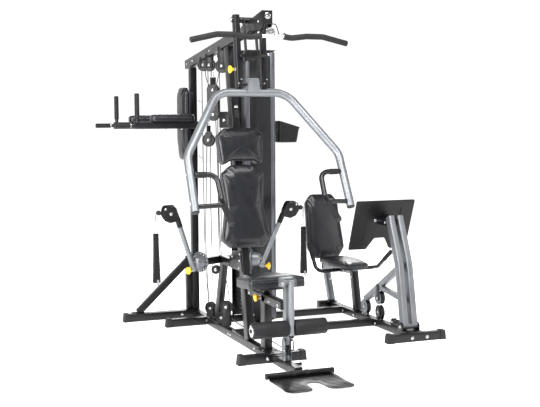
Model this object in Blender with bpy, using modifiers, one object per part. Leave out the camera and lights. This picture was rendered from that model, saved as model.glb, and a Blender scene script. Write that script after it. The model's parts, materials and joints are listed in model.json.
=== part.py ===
"""Multi station home gym: press and lat tower, cable arms, leg lever, knee-raise station and leg press.

Machine frame, in metres: X = 0 is the middle plane of the main base beam, Y = 0 is the front face of the
rear upright, -Y is the side the press station's user faces, and the floor is Z = 0.  Every piece hangs
from one empty that moves this frame so that the origin is the middle of the machine's footprint.
"""
import math

import bmesh
import bpy
from mathutils import Matrix, Vector

# ---------------------------------------------------------------- driving dimensions
FOOTPRINT_CENTRE = Vector((0.3292, -0.9465, 0.0))  # middle of the footprint, in the machine frame
GAP = 0.0003            # between pieces that touch
TUBE = 0.050            # square frame tube
WALL = 0.0025           # its wall
BEAM_BOTTOM = 0.003     # base beams hang this far above the floor, between the stabilizers
BEAM_MID = BEAM_BOTTOM + TUBE / 2
BEAM_TOP = BEAM_BOTTOM + TUBE
FOOT_HEIGHT = 0.056     # stabilizers stand on the floor
REAR_CROSS_Y = -0.305
FRONT_CROSS_Y = -0.825
FRONT_FOOT_Y = -1.565
PRESS_X = 1.063         # middle plane of the leg press station
PRESS_FOOT_Y = -1.385
UPRIGHT_Y = 0.025       # rear upright's axis
LEAN = 0.19             # the main upright leans back this much per metre of height
UPRIGHT_FRONT_Y = -1.20  # its front face, carried down to the floor
UPRIGHT_DEPTH = 0.075
BOOM_RISE = 0.108       # the top beam rises this much per metre towards the front
BOOM_TOP_REAR = 1.905   # its top face above Y = 0
BOOM_HEIGHT = 0.062
PRESS_PIVOT = Vector((0, -1.19, 2.056))
LAT_PULLEY = Vector((0, -1.455, 2.003))
LAT_PULLEY_RADIUS = 0.038
LAT_BAR = Vector((0, -1.560, 1.930))
STACK = Vector((0.269, -0.493, 0))      # middle of the weight stack
STACK_SIZE = Vector((0.180, 0.250, 0))
PLATE_PITCH = 0.030
RESTING_PLATES = 10
LIFTED_PLATES = 5
STACK_BOTTOM = 0.085
ARM_DISC = Vector((0.186, -0.705, 0.505))   # right cable arm's locking disc, mirrored for the left
ARM_AXIS = Vector((math.sin(math.radians(60)), -math.cos(math.radians(60)), 0))
ARM_TILT = math.radians(23)             # the arm leans out of the disc's plane
ARM_LENGTH = 0.385
DISC_RADIUS = 0.069
SEAT_POST_Y = -1.449
SEAT_TOP = 0.528
SEAT_TILT = math.radians(4)             # the seat's front is the higher
LEVER_PIVOT = Vector((0, -1.8153, 0.513))
LEVER_Y = -1.852
ROLLER_Y = -1.829
ROLLER_Z = 0.254
ROLLER_RADIUS = 0.047
PEDAL_AXIS = Vector((0, -1.970, 0.024))
LEG_PIVOT = Vector((PRESS_X, -1.30, 0.085))
FOOT_PLATE_LEAN = 0.40                  # it leans away from the user by this much per metre of height
DIP_Z = 1.4165          # knee-raise station's arms
DIP_REACH = 0.32        # each arm's distance from the station's middle
CABLE_RADIUS = 0.0028

# ---------------------------------------------------------------- scene and materials
for old in list(bpy.data.objects):
    bpy.data.objects.remove(old, do_unlink=True)

parts = bpy.data.collections.new("home_gym")
shapes = bpy.data.collections.new("joined_and_cutting_shapes")
for group in (parts, shapes):
    bpy.context.scene.collection.children.link(group)


def material(name, colour, roughness, metallic):
    made = bpy.data.materials.new(name)
    made.use_nodes = True
    shader = made.node_tree.nodes["Principled BSDF"]
    shader.inputs["Base Color"].default_value = (*colour, 1)
    shader.inputs["Roughness"].default_value = roughness
    shader.inputs["Metallic"].default_value = metallic
    return made


FINISHES = {
    "frame_paint": ((0.035, 0.035, 0.040), 0.40, 0.2),
    "silver_paint": ((0.33, 0.34, 0.36), 0.32, 0.7),
    "chrome": ((0.75, 0.75, 0.75), 0.12, 1.0),
    "leather": ((0.030, 0.031, 0.038), 0.38, 0.0),
    "foam": ((0.022, 0.022, 0.024), 0.60, 0.0),
    "yellow_plastic": ((0.85, 0.55, 0.02), 0.35, 0.0),
    "black_plastic": ((0.015, 0.015, 0.016), 0.42, 0.0),
    "shroud_panel": ((0.050, 0.050, 0.058), 0.38, 0.1),
    "iron_plates": ((0.030, 0.030, 0.032), 0.50, 0.4),
    "webbing": ((0.012, 0.012, 0.012), 0.75, 0.0),
    "cable_sleeve": ((0.020, 0.020, 0.020), 0.35, 0.0),
}
MATERIALS = {name: material(name, *finish) for name, finish in FINISHES.items()}

origin = bpy.data.objects.new("gym_origin", None)
origin.location = -FOOTPRINT_CENTRE
parts.objects.link(origin)
pivots = {None: (origin, Vector((0, 0, 0)))}


def pivot(name, at, parent=None):
    """An empty on a joint's axis, which the moving pieces hang from."""
    holder, holder_at = pivots[parent]
    empty = bpy.data.objects.new(name, None)
    empty.location = Vector(at) - holder_at
    empty.parent = holder
    parts.objects.link(empty)
    pivots[name] = (empty, Vector(at))
    return name


# ---------------------------------------------------------------- shape helpers
def shape(data, at=(0, 0, 0), turn=None):
    """An unnamed object at a place in the machine frame, turned by a 3 x 3 matrix."""
    made = bpy.data.objects.new("shape", data)
    made.location = at
    if turn is not None:
        made.rotation_euler = turn.to_euler()
    return made


def box_mesh(size):
    mesh = bpy.data.meshes.new("box")
    bm = bmesh.new()
    bmesh.ops.create_cube(bm, size=1.0)
    bmesh.ops.scale(bm, vec=size, verts=bm.verts)
    bm.to_mesh(mesh)
    bm.free()
    return mesh


def block(low, high):
    """A box between two corners."""
    low, high = Vector(low), Vector(high)
    return shape(box_mesh(high - low), (low + high) / 2)


def along(start, end):
    """Matrix whose Z runs from start to end and whose X stays level."""
    z = (Vector(end) - Vector(start)).normalized()
    x = z.cross(Vector((0, 0, 1)))
    x = Vector((1, 0, 0)) if x.length < 1e-6 else x.normalized()
    return Matrix((x, z.cross(x), z)).transposed()


def bar(start, end, width=TUBE, height=TUBE):
    """A solid square bar; width is its level side."""
    start, end = Vector(start), Vector(end)
    return shape(box_mesh((width, height, (end - start).length)), (start + end) / 2, along(start, end))


def tube(start, end, width=TUBE, height=TUBE):
    """The same as a hollow tube, open at both ends."""
    made = bar(start, end, width, height)
    bm = bmesh.new()
    bm.from_mesh(made.data)
    bmesh.ops.delete(bm, geom=[face for face in bm.faces if abs(face.normal.z) > 0.5], context="FACES_ONLY")
    bm.to_mesh(made.data)
    bm.free()
    hollow(made, WALL)
    return made


def hollow(made, wall):
    shell = made.modifiers.new("wall", "SOLIDIFY")
    shell.thickness = wall
    shell.offset = -1
    shell.use_even_offset = True


def rod(start, end, radius, sides=16, end_radius=None):
    start, end = Vector(start), Vector(end)
    mesh = bpy.data.meshes.new("rod")
    bm = bmesh.new()
    bmesh.ops.create_cone(
        bm, cap_ends=True, segments=sides, radius1=radius,
        radius2=radius if end_radius is None else end_radius, depth=(end - start).length)
    bm.to_mesh(mesh)
    bm.free()
    mesh.shade_smooth()
    mesh.set_sharp_from_angle(angle=math.radians(40))
    return shape(mesh, (start + end) / 2, along(start, end))


def rounded(corners, bend, steps=4):
    """The corners of a path, each inner one replaced by an arc of about the bend radius."""
    corners = [Vector(corner) for corner in corners]
    path = [corners[0]]
    for before, corner, after in zip(corners, corners[1:], corners[2:]):
        towards, away = (before - corner).normalized(), (after - corner).normalized()
        half = towards.angle(away) / 2
        reach = min(bend / math.tan(half), 0.45 * (before - corner).length, 0.45 * (after - corner).length)
        centre = corner + (towards + away).normalized() * reach / math.cos(half)
        first, last = corner + towards * reach - centre, corner + away * reach - centre
        path += [centre + first.slerp(last, step / steps) * first.length for step in range(steps + 1)]
    return path + [corners[-1]]


def solid_of(made):
    """The mesh of a curve object, with its caps joined on."""
    shapes.objects.link(made)
    graph = bpy.context.evaluated_depsgraph_get()
    mesh = bpy.data.meshes.new_from_object(made.evaluated_get(graph))
    bm = bmesh.new()
    bm.from_mesh(mesh)
    bmesh.ops.remove_doubles(bm, verts=bm.verts, dist=1e-5)
    bmesh.ops.recalc_face_normals(bm, faces=bm.faces)
    bm.to_mesh(mesh)
    bm.free()
    solid = shape(mesh, made.location)
    solid.rotation_euler = made.rotation_euler
    bpy.data.objects.remove(made)
    return solid


def pipe(path, radius, detail=3):
    """A round bar along a path; detail sets its sides."""
    curve = bpy.data.curves.new("pipe", "CURVE")
    curve.dimensions = "3D"
    curve.bevel_depth = radius
    curve.bevel_resolution = detail
    curve.use_fill_caps = True
    spline = curve.splines.new("POLY")
    spline.points.add(len(path) - 1)
    for point, place in zip(spline.points, path):
        point.co = (*place, 1)
    solid = solid_of(bpy.data.objects.new("pipe", curve))
    solid.data.shade_smooth()
    solid.data.set_sharp_from_angle(angle=math.radians(50))
    return solid


def sheet(outline, thickness, at=(0, 0, 0), turn=None):
    """A flat outline, given in the sheet's own X and Y, made thickness thick about its plane."""
    curve = bpy.data.curves.new("sheet", "CURVE")
    curve.dimensions = "2D"
    curve.fill_mode = "BOTH"
    curve.extrude = thickness / 2
    spline = curve.splines.new("POLY")
    spline.points.add(len(outline) - 1)
    for point, (x, y) in zip(spline.points, outline):
        point.co = (x, y, 0, 1)
    spline.use_cyclic_u = True
    return solid_of(shape(curve, at, turn))


def soft_corners(corners, radius, steps=3):
    """A closed 2D outline with each corner rounded."""
    count = len(corners)
    outline = []
    for index, corner in enumerate(corners):
        three = [(*corners[index - 1], 0), (*corner, 0), (*corners[(index + 1) % count], 0)]
        outline += [(point.x, point.y) for point in rounded(three, radius, steps)[1:-1]]
    return outline


def turned(profile, sides, at, axis):
    """A closed profile of (radius, height) turned about the axis through a place."""
    mesh = bpy.data.meshes.new("turned")
    bm = bmesh.new()
    corners = [bm.verts.new((radius, 0, height)) for radius, height in profile]
    loop = corners + corners[:1] if profile[0][0] > 0 and profile[-1][0] > 0 else corners
    for first, second in zip(loop, loop[1:]):
        bm.edges.new((first, second))
    bm.to_mesh(mesh)
    bm.free()
    made = shape(mesh, at, along((0, 0, 0), axis))
    screw = made.modifiers.new("turn", "SCREW")
    screw.steps = screw.render_steps = sides
    screw.use_merge_vertices = True
    screw.merge_threshold = 0.0001
    screw.use_smooth_shade = False
    return made


IN_YZ = Matrix(((0, 0, 1), (1, 0, 0), (0, 1, 0)))   # sheet X -> machine Y, sheet Y -> machine Z
IN_XZ = Matrix(((1, 0, 0), (0, 0, -1), (0, 1, 0)))  # sheet X -> machine X, sheet Y -> machine Z


def piece(name, made, finish, on=None, joined=(), cut=()):
    """Name a shape as a part of the machine, join the other shapes to it and cut the cutters out of it."""
    holder, holder_at = pivots[on]
    made.name = name
    made.data.name = name
    made.data.materials.clear()
    made.data.materials.append(MATERIALS[finish])
    parts.objects.link(made)
    for operation, others in (("UNION", joined), ("DIFFERENCE", cut)):
        for number, other in enumerate(others, 1):
            shapes.objects.link(other)
            other.name = f"{name}_{operation.lower()}_{number}"
            other.hide_render = True
            other.display_type = "WIRE"
            step = made.modifiers.new(other.name, "BOOLEAN")
            step.operation = operation
            step.object = other
    for each in (made, *joined, *cut):
        each.parent = holder
        each.location = each.location - holder_at
    return made


def mirrored(place, side):
    return Vector((place[0] * side, place[1], place[2]))


def boom_top(y):
    return BOOM_TOP_REAR - BOOM_RISE * y


def upright_front(z):
    return UPRIGHT_FRONT_Y + LEAN * z


# ---------------------------------------------------------------- base
def make_base():
    foot_mid = FOOT_HEIGHT / 2
    side = TUBE / 2 + GAP
    piece("main_beam", tube((0, 0.06, BEAM_MID), (0, FRONT_FOOT_Y + side, BEAM_MID)), "frame_paint")
    piece("front_stabilizer",
          bar((-0.222, FRONT_FOOT_Y, foot_mid), (0.198, FRONT_FOOT_Y, foot_mid), height=FOOT_HEIGHT),
          "frame_paint")
    front_end = PEDAL_AXIS.y + 0.0180 + GAP
    piece("front_extension",
          bar((0, FRONT_FOOT_Y - side, BEAM_MID), (0, front_end, BEAM_MID)), "frame_paint",
          joined=[rod((0.02, -1.78, 0.028), (0.090, -1.78, 0.028), 0.009, 12)])
    piece("rear_stabilizer",
          bar((-0.545, 0, foot_mid), (-side, 0, foot_mid), 0.06, FOOT_HEIGHT), "frame_paint")
    piece("mid_stabilizer",
          bar((-0.313, REAR_CROSS_Y, foot_mid), (-side, REAR_CROSS_Y, foot_mid), height=FOOT_HEIGHT),
          "frame_paint")
    for name, y in (("rear_cross_beam", REAR_CROSS_Y), ("front_cross_beam", FRONT_CROSS_Y)):
        piece(name, tube((side, y, BEAM_MID), (PRESS_X - side, y, BEAM_MID)), "frame_paint")
    rear, front = LEG_PIVOT.y + 0.035, LEG_PIVOT.y - 0.032
    ears = [block((PRESS_X + x - 0.004, front, BEAM_TOP), (PRESS_X + x + 0.004, rear, 0.105))
            for x in (-0.060, 0.060)]
    seat = block((PRESS_X - 0.064, front, BEAM_TOP - 0.001), (PRESS_X + 0.064, rear, 0.058))
    piece("leg_press_beam",
          tube((PRESS_X, -0.02, BEAM_MID), (PRESS_X, PRESS_FOOT_Y + side, BEAM_MID)), "frame_paint",
          joined=[seat, *ears])
    piece("right_stabilizer",
          bar((0.860, PRESS_FOOT_Y, foot_mid), (1.272, PRESS_FOOT_Y, foot_mid), height=FOOT_HEIGHT),
          "frame_paint")


# ---------------------------------------------------------------- tower
def make_tower():
    piece("rear_upright",
          tube((0, UPRIGHT_Y, BEAM_TOP + GAP), (0, UPRIGHT_Y, 1.836)), "frame_paint")
    brace = [(-0.470, 0.0565), (-0.400, 0.0565), (-0.060, 0.385), (-0.060, 0.455)]
    piece("knee_station_post",
          block((-0.0715, 0, FOOT_HEIGHT + GAP), (-0.0255, TUBE, 0.43)), "frame_paint",
          joined=[sheet(brace, 0.045, (0, UPRIGHT_Y, 0), IN_XZ),
                  rod((-0.36, UPRIGHT_Y, 0.135), (-0.300, UPRIGHT_Y, 0.135), 0.005, 8)])

    upright = tube((0, 0, BEAM_TOP + 0.001), (0, 0, 1.924), TUBE, UPRIGHT_DEPTH)
    middle = upright.location.z
    for vertex in upright.data.vertices:
        height = middle + vertex.co.z
        vertex.co.y += upright_front(height) + UPRIGHT_DEPTH / 2
    piece("main_upright", upright, "frame_paint")

    middle = BOOM_HEIGHT / 2
    boom = tube((0, 0.135, boom_top(0.135) - middle), (0, -1.400, boom_top(-1.400) - middle),
                TUBE, BOOM_HEIGHT)
    nose = [(-1.255, 2.044), (-1.500, 2.085), (-1.508, 2.080), (-1.508, 2.005), (-1.490, 1.982),
            (-1.450, 1.972), (-1.27, 1.985)]
    cheeks = [sheet(nose, 0.0065, (x, 0, 0), IN_YZ) for x in (-0.0275, 0.0275)]
    cheeks.append(block((-0.026, -1.508, 2.005), (0.026, -1.500, 2.083)))
    saddle = block((-0.02, PRESS_PIVOT.y - 0.02, boom_top(PRESS_PIVOT.y) - 0.004),
                   (0.02, PRESS_PIVOT.y + 0.02, PRESS_PIVOT.z - 0.016 - GAP))
    spacer = rod((-0.026, -1.395, 2.060), (0.026, -1.395, 2.060), 0.006, 8)
    slot = block((-0.012, -0.73, 1.90), (0.012, -0.60, 1.945))
    piece("top_beam", boom, "frame_paint", joined=[*cheeks, saddle, spacer], cut=[slot])


def make_cable_arm_carrier():
    rear = ARM_DISC - ARM_AXIS * (ARM_DISC.x / ARM_AXIS.x)
    low, high, behind = ARM_DISC.z - 0.0275, ARM_DISC.z + 0.0275, UPRIGHT_DEPTH + GAP
    beam = [(upright_front(low) + behind, low), (rear.y, low), (rear.y, high),
            (upright_front(high) + behind, high)]
    pieces = [sheet(beam, 0.045, (0, 0, 0), IN_YZ)]
    pieces += [bar(rear + mirrored(ARM_AXIS, side) * 0.005, mirrored(ARM_DISC - ARM_AXIS * 0.0085, side))
               for side in (-1, 1)]
    gusset = [(upright_front(0.475) + behind, 0.475), (-0.72, 0.475), (-0.72, 0.560), (-0.86, 0.615),
              (upright_front(0.615) + behind, 0.615)]
    pieces.append(sheet(gusset, 0.006, (-0.0245, 0, 0), IN_YZ))
    strut = [(-0.545, BEAM_TOP + GAP), (-0.475, BEAM_TOP + GAP), (-0.620, 0.49), (-0.690, 0.49)]
    pieces.append(sheet(strut, 0.040, (0, 0, 0), IN_YZ))
    piece("arm_carrier", pieces[0], "frame_paint", joined=pieces[1:])
    for name, side in (("left", -1), ("right", 1)):
        axis = mirrored(ARM_AXIS, side)
        centre = mirrored(ARM_DISC, side)
        disc = rod(centre - axis * 0.008, centre, DISC_RADIUS, 28)
        across = axis.cross(Vector((0, 0, 1)))
        holes = []
        for step in range(7):
            angle = math.radians(-60 + 30 * step)
            hole = centre + (across * math.cos(angle) * side + Vector((0, 0, math.sin(angle)))) * 0.055
            holes.append(rod(hole - axis * 0.012, hole + axis * 0.004, 0.006, 8))
        piece(f"locking_disc_{name}", disc, "silver_paint", cut=holes)


# ---------------------------------------------------------------- weight stack
def comb(bottom, plates, top_plate):
    """Side outline of a pile of plates, with a groove at each joint."""
    half, groove, slit = STACK_SIZE.x / 2, 0.003, 0.0012
    right = [(half, bottom)]
    for number in range(1, plates + 1):
        height = bottom + number * PLATE_PITCH
        if number < plates or top_plate:
            right += [(half, height - slit), (half - groove, height), (half, height + slit)]
        else:
            right.append((half, height))
    if top_plate:
        right.append((half, bottom + plates * PLATE_PITCH + 0.035))
    return right + [(-x, z) for x, z in reversed(right)]


def make_weight_stack():
    left, right = STACK.x - 0.119, STACK.x + 0.119
    front, back = STACK.y - 0.143, STACK.y + 0.150
    bottom, top, wall = 0.060, 1.918, 0.003
    outside = [(left + 0.030, front), (right - 0.02, front), (right, front + 0.02), (right, back - 0.02),
               (right - 0.02, back), (left + 0.030, back)]
    lip = [(left, front + 0.03), (left, back - 0.03)]
    inside = [(left + 0.031, front + wall), (right - 0.021, front + wall), (right - wall, front + 0.021),
              (right - wall, back - 0.021), (right - 0.021, back - wall), (left + 0.031, back - wall)]
    outline = ([lip[0]] + outside + [lip[1], (left + wall, back - 0.0318)] + list(reversed(inside))
               + [(left + wall, front + 0.0318)])
    piece("weight_shroud", sheet(outline, top - bottom, (0, 0, (top + bottom) / 2)), "shroud_panel")

    side = TUBE / 2 + GAP
    rail = bar((STACK.x, REAR_CROSS_Y - side, BEAM_MID), (STACK.x, FRONT_CROSS_Y + side, BEAM_MID))
    guides = [(STACK.x, STACK.y + offset) for offset in (-0.09, 0.09)]
    rods = [rod((x, y, BEAM_MID), (x, y, 1.90), 0.0125, 14) for x, y in guides]
    head = block((TUBE / 2 + GAP, STACK.y - 0.02, 1.875), (STACK.x + 0.03, STACK.y + 0.02, 1.912))
    cross = block((STACK.x - 0.02, STACK.y - 0.11, 1.880), (STACK.x + 0.02, STACK.y + 0.11, 1.905))
    buffers = [rod((x, y, BEAM_TOP - 0.01), (x, y, STACK_BOTTOM - GAP), 0.022, 14) for x, y in guides]
    piece("guide_frame", rail, "chrome", joined=[*rods, head, cross, *buffers])

    def bores(low, high):
        return [rod((x, y, low - 0.01), (x, y, high + 0.01), 0.0135, 14) for x, y in guides]

    resting_top = STACK_BOTTOM + RESTING_PLATES * PLATE_PITCH
    spine = rod((STACK.x, STACK.y, STACK_BOTTOM - 0.01), (STACK.x, STACK.y, resting_top + 0.01), 0.0125, 12)
    piece("resting_weights",
          sheet(comb(STACK_BOTTOM, RESTING_PLATES, False), STACK_SIZE.y, STACK, IN_XZ), "iron_plates",
          cut=[*bores(STACK_BOTTOM, resting_top), spine])
    lifted_bottom = resting_top + GAP
    lifted_top = lifted_bottom + LIFTED_PLATES * PLATE_PITCH + 0.035
    moving = pivot("weight_lift", STACK)
    stem = rod((STACK.x, STACK.y, STACK_BOTTOM + 0.01), (STACK.x, STACK.y, lifted_top + 0.02), 0.010, 12)
    piece("lifted_weights",
          sheet(comb(lifted_bottom, LIFTED_PLATES, True), STACK_SIZE.y, STACK, IN_XZ), "iron_plates", moving,
          joined=[stem], cut=bores(lifted_bottom, lifted_top))
    piece("stack_cable",
          rod((STACK.x, STACK.y, lifted_top + 0.02 + GAP), (STACK.x, STACK.y, 1.875 - GAP), CABLE_RADIUS, 8),
          "cable_sleeve", moving)


# ---------------------------------------------------------------- pads on the main upright
def leaning_pad(name, half_outline, rear_gap=GAP, thickness=0.088):
    """A pad on the main upright's front face; the outline is (half width, height)."""
    tilt = math.atan(LEAN)
    outline = half_outline + [(-x, z) for x, z in reversed(half_outline)]
    scale = 1 / math.cos(tilt)
    outline = [(x, z * scale) for x, z in soft_corners(outline, 0.022)]
    turn = Matrix.Rotation(-tilt, 3, "X") @ IN_XZ
    offset = (thickness / 2 + rear_gap) * scale
    piece(name, sheet(outline, thickness, (0, UPRIGHT_FRONT_Y - offset, 0), turn), "leather")


def make_back_pads():
    leaning_pad("head_pad", [(0.075, 1.186), (0.137, 1.148), (0.156, 1.348), (0.108, 1.393)])
    leaning_pad("back_pad", [(0.110, 0.640), (0.161, 0.690), (0.124, 0.900), (0.143, 1.105), (0.078, 1.160)])


# ---------------------------------------------------------------- press arm
def make_press_arm():
    moving = pivot("press_swing", PRESS_PIVOT)
    y, z = PRESS_PIVOT.y, PRESS_PIVOT.z
    hangers = [bar((side * 0.086, y + 0.003, z + 0.030), (side * 0.083, -1.228, 1.6400), 0.035, 0.050)
               for side in (-1, 1)]
    sleeve = rod((-0.10, y, z), (0.10, y, z), 0.016, 16)
    cheeks = [bar((x, y, z + 0.01), (x, -1.240, 1.83), 0.005, 0.040) for x in (-0.0375, 0.0375)]
    lever = [block((-0.050, -1.270, 1.804), (0.040, -1.215, 1.868)),
             block((-0.024, -1.275, 1.7003), (0.024, -1.230, 1.81))]
    piece("press_hangers", hangers[0], "frame_paint", moving, joined=[sleeve, hangers[1], *cheeks, *lever])

    half = [(0.489, -1.615, 0.918), (0.484, -1.450, 1.235), (0.225, -1.228, 1.612)]
    corners = [mirrored(place, -1) for place in half] + [Vector(place) for place in reversed(half)]
    gusset = sheet([(-0.040, 1.615), (0.040, 1.615), (0.030, 1.700), (-0.030, 1.700)], 0.044,
                   (0, -1.252, 0), IN_XZ)
    piece("press_arch", pipe(rounded(corners, 0.14, 5), 0.025, 5), "silver_paint", moving, joined=[gusset])

    for name, side in (("left", -1), ("right", 1)):
        grip = [(0.4603, -1.514, 1.127), (0.330, -1.520, 1.127), (0.325, -1.600, 0.980),
                (0.329, -1.786, 0.860)]
        loop = pipe(rounded([mirrored(place, side) for place in grip], 0.055, 4), 0.016, 3)
        link = pipe([mirrored((0.328, -1.635, 0.957), side), mirrored((0.4627, -1.602, 0.950), side)],
                    0.014, 3)
        piece(f"press_grip_{name}", loop, "foam", moving, joined=[link])
    pin = pivot("press_pin", (-0.104, -1.22, 1.753), moving)
    pull_knob("press_knob", (-0.1040, -1.22, 1.753), (-1, 0, 0), pin)


def pull_knob(name, at, axis, on):
    """A spring pull pin's stem and knob; the knob faces along the axis."""
    profile = [(0, 0.044), (0.015, 0.0425), (0.0225, 0.038), (0.0235, 0.031), (0.019, 0.024), (0.0105, 0.020),
               (0.009, 0.012), (0.006, 0.012), (0.006, 0), (0, 0)]
    piece(name, turned(profile, 14, at, axis), "yellow_plastic", on)


# ---------------------------------------------------------------- lat station
def make_lat_station():
    moving = pivot("lat_pull", LAT_BAR)
    y, z = LAT_BAR.yz
    half = [(0.05, y, z), (0.130, y, z - 0.010), (0.225, y, z + 0.002), (0.330, y, z + 0.002),
            (0.487, y, z - 0.034)]
    grips = [pipe(rounded([mirrored(place, side) for place in half], 0.10, 3), 0.0172, 3) for side in (-1, 1)]
    drop = LAT_PULLEY.y - LAT_PULLEY_RADIUS - CABLE_RADIUS - 0.0008
    hook = block((-0.004, y - 0.012, z), (0.004, drop + 0.005, z + 0.026))
    piece("lat_bar", rod((-0.09, y, z), (0.09, y, z), 0.0125, 12), "chrome", moving, joined=[*grips, hook])
    piece("lat_drop_cable", rod((0, drop, z + 0.026 + GAP), (0, drop, LAT_PULLEY.z - 0.006), CABLE_RADIUS, 8),
          "cable_sleeve", moving)
    radius, width = LAT_PULLEY_RADIUS, 0.011
    profile = [(0, width), (radius, width), (radius - 0.007, 0.0), (radius, -width), (0, -width)]
    piece("lat_pulley", turned(profile, 24, LAT_PULLEY, (1, 0, 0)), "black_plastic",
          pivot("lat_pulley_spin", LAT_PULLEY))


# ---------------------------------------------------------------- cable arms
def make_cable_arms():
    up = Vector((0, 0, 1))
    for name, side in (("left", -1), ("right", 1)):
        axis = mirrored(ARM_AXIS, side)
        centre = mirrored(ARM_DISC, side)
        reach = up * math.cos(ARM_TILT) + axis * math.sin(ARM_TILT)
        moving = pivot(f"arm_swing_{name}", centre)
        hub = rod(centre + axis * GAP, centre + axis * 0.058, 0.048, 24, 0.040)
        foot = centre + axis * 0.062 - up * 0.042
        tip = foot + reach * ARM_LENGTH
        arm = rod(foot, tip, 0.0160, 16)
        sleeve = rod(foot + reach * 0.320, tip, 0.0180, 16)
        piece(f"arm_tube_{name}", hub, "silver_paint", moving, joined=[arm, sleeve])
        pin = pivot(f"arm_pin_{name}", foot, moving)
        pull_knob(f"arm_knob_{name}", foot + axis * 0.0185 - up * 0.004, axis, pin)

        head_at = tip + reach * 0.0003
        head = pivot(f"head_swivel_{name}", head_at, moving)
        across = Vector((side, 0, 0))
        facing = across.cross(reach).normalized() * side
        upward = facing.cross(across).normalized() * side
        frame = Matrix((across, upward, across.cross(upward))).transposed()
        middle = tip + reach * 0.030 + across * 0.036 + upward * 0.005
        outline = [(0.060, -0.012), (0.054, 0.030), (0.045, 0.047), (-0.020, 0.050), (-0.034, 0.036),
                   (-0.052, -0.014), (-0.040, -0.052), (0.004, -0.062), (0.040, -0.046)]
        plates = [sheet(outline, 0.0035, middle + frame.col[2] * offset, frame)
                  for offset in (-0.0205, 0.0205)]
        core = rod(middle - frame.col[2] * 0.020, middle + frame.col[2] * 0.020, 0.034, 20)
        collar = rod(head_at, head_at + reach * 0.030, 0.016, 12)
        outlet = middle + upward * 0.004
        stop = rod(outlet + across * 0.030, outlet + across * 0.078, 0.006, 10)
        ball = rod(outlet + across * 0.068, outlet + across * 0.092, 0.016, 12, 0.010)
        joined = [plates[1], core, collar, stop, ball]
        piece(f"arm_head_{name}", plates[0], "frame_paint", head, joined=joined)

        top = middle + across * 0.099 + upward * 0.004
        strap_top = top - up * 0.135
        strap_foot = strap_top - up * 0.325
        strap = [bar(strap_top + across * spread, strap_foot + across * spread * 1.3, 0.020, 0.012)
                 for spread in (-0.0095, 0.0095)]
        hook = rod(strap_top - up * 0.008, top + up * 0.006, 0.005, 8)
        piece(f"strap_handle_{name}", strap[0], "webbing", pivot(f"strap_swing_{name}", top, head),
              joined=[strap[1], hook])


# ---------------------------------------------------------------- seat and leg lever
def make_seat():
    y = SEAT_POST_Y
    post = block((-0.025, y - 0.0375, BEAM_TOP + GAP), (0.025, y + 0.0375, 0.395))
    rail = block((-0.025, -1.7450, 0.345), (0.025, y, 0.395))
    rest = block((-0.024, -1.185, 0.350), (0.024, y, 0.390))
    bore = block((-0.0205, y - 0.0205, 0.10), (0.0205, y + 0.0205, 0.45))
    piece("seat_post", post, "frame_paint", joined=[rail, rest], cut=[bore])
    moving = pivot("seat_height", (0, y, 0.395))
    inner = block((-0.0200, y - 0.0200, 0.16), (0.0200, y + 0.0200, 0.437))
    tilt = Matrix.Rotation(-SEAT_TILT, 3, "X")
    centre = Vector((0, -1.490, SEAT_TOP - 0.0450))
    below = centre - tilt.col[2] * (0.0375 + GAP + 0.006)
    plate = sheet([(-0.10, -0.12), (0.10, -0.12), (0.10, 0.12), (-0.10, 0.12)], 0.012, below, tilt)
    piece("seat_carriage", inner, "frame_paint", moving, joined=[plate])
    corners = [(-0.178, -0.170), (0.178, -0.170), (0.178, 0.080), (0.115, 0.165), (-0.115, 0.165),
               (-0.178, 0.080)]
    piece("seat_pad", sheet(soft_corners(corners, 0.03), 0.075, centre, tilt), "leather", moving)
    pull_knob("seat_knob", (-0.0253, -1.42, 0.370), (-1, 0, 0), pivot("seat_pin", (-0.0253, -1.42, 0.370)))


def make_leg_lever():
    post = block((-0.0115, -1.7953, BEAM_TOP + GAP), (0.0115, -1.7453, 0.500))
    fork = block((-0.0385, -1.7953, 0.487), (0.0385, -1.7453, 0.537))
    ears = [block((x - 0.002, -1.838, 0.490), (x + 0.002, -1.790, 0.535)) for x in (-0.0355, 0.0355)]
    base = block((-0.020, -1.800, BEAM_TOP + GAP), (0.020, -1.7453, 0.165))
    piece("lever_post", post, "silver_paint", joined=[fork, *ears, base])
    moving = pivot("lever_swing", LEVER_PIVOT)
    shank = rod((0, LEVER_Y, 0.205), (0, LEVER_Y, 0.530), 0.0165, 16)
    hub = rod((-0.032, LEVER_PIVOT.y, LEVER_PIVOT.z), (0.032, LEVER_PIVOT.y, LEVER_PIVOT.z), 0.0145, 14)
    arm = block((-0.013, LEVER_Y, 0.502), (0.013, LEVER_PIVOT.y, 0.524))
    axle = rod((-0.238, ROLLER_Y, ROLLER_Z), (0.226, ROLLER_Y, ROLLER_Z), 0.011, 12)
    piece("leg_lever", shank, "silver_paint", moving, joined=[hub, arm, axle])
    for name, side, outer in (("left", -1, 0.236), ("right", 1, 0.224)):
        bore, face, inner = 0.0115, ROLLER_RADIUS, 0.0185
        profile = [(bore, outer), (face - 0.006, outer), (face, outer - 0.006), (face, inner + 0.006),
                   (face - 0.006, inner), (bore, inner)]
        spin = pivot(f"roller_spin_{name}", (side * 0.126, ROLLER_Y, ROLLER_Z), moving)
        piece(f"foam_roller_{name}", turned(profile, 22, (0, ROLLER_Y, ROLLER_Z), (side, 0, 0)), "foam", spin)


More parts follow.
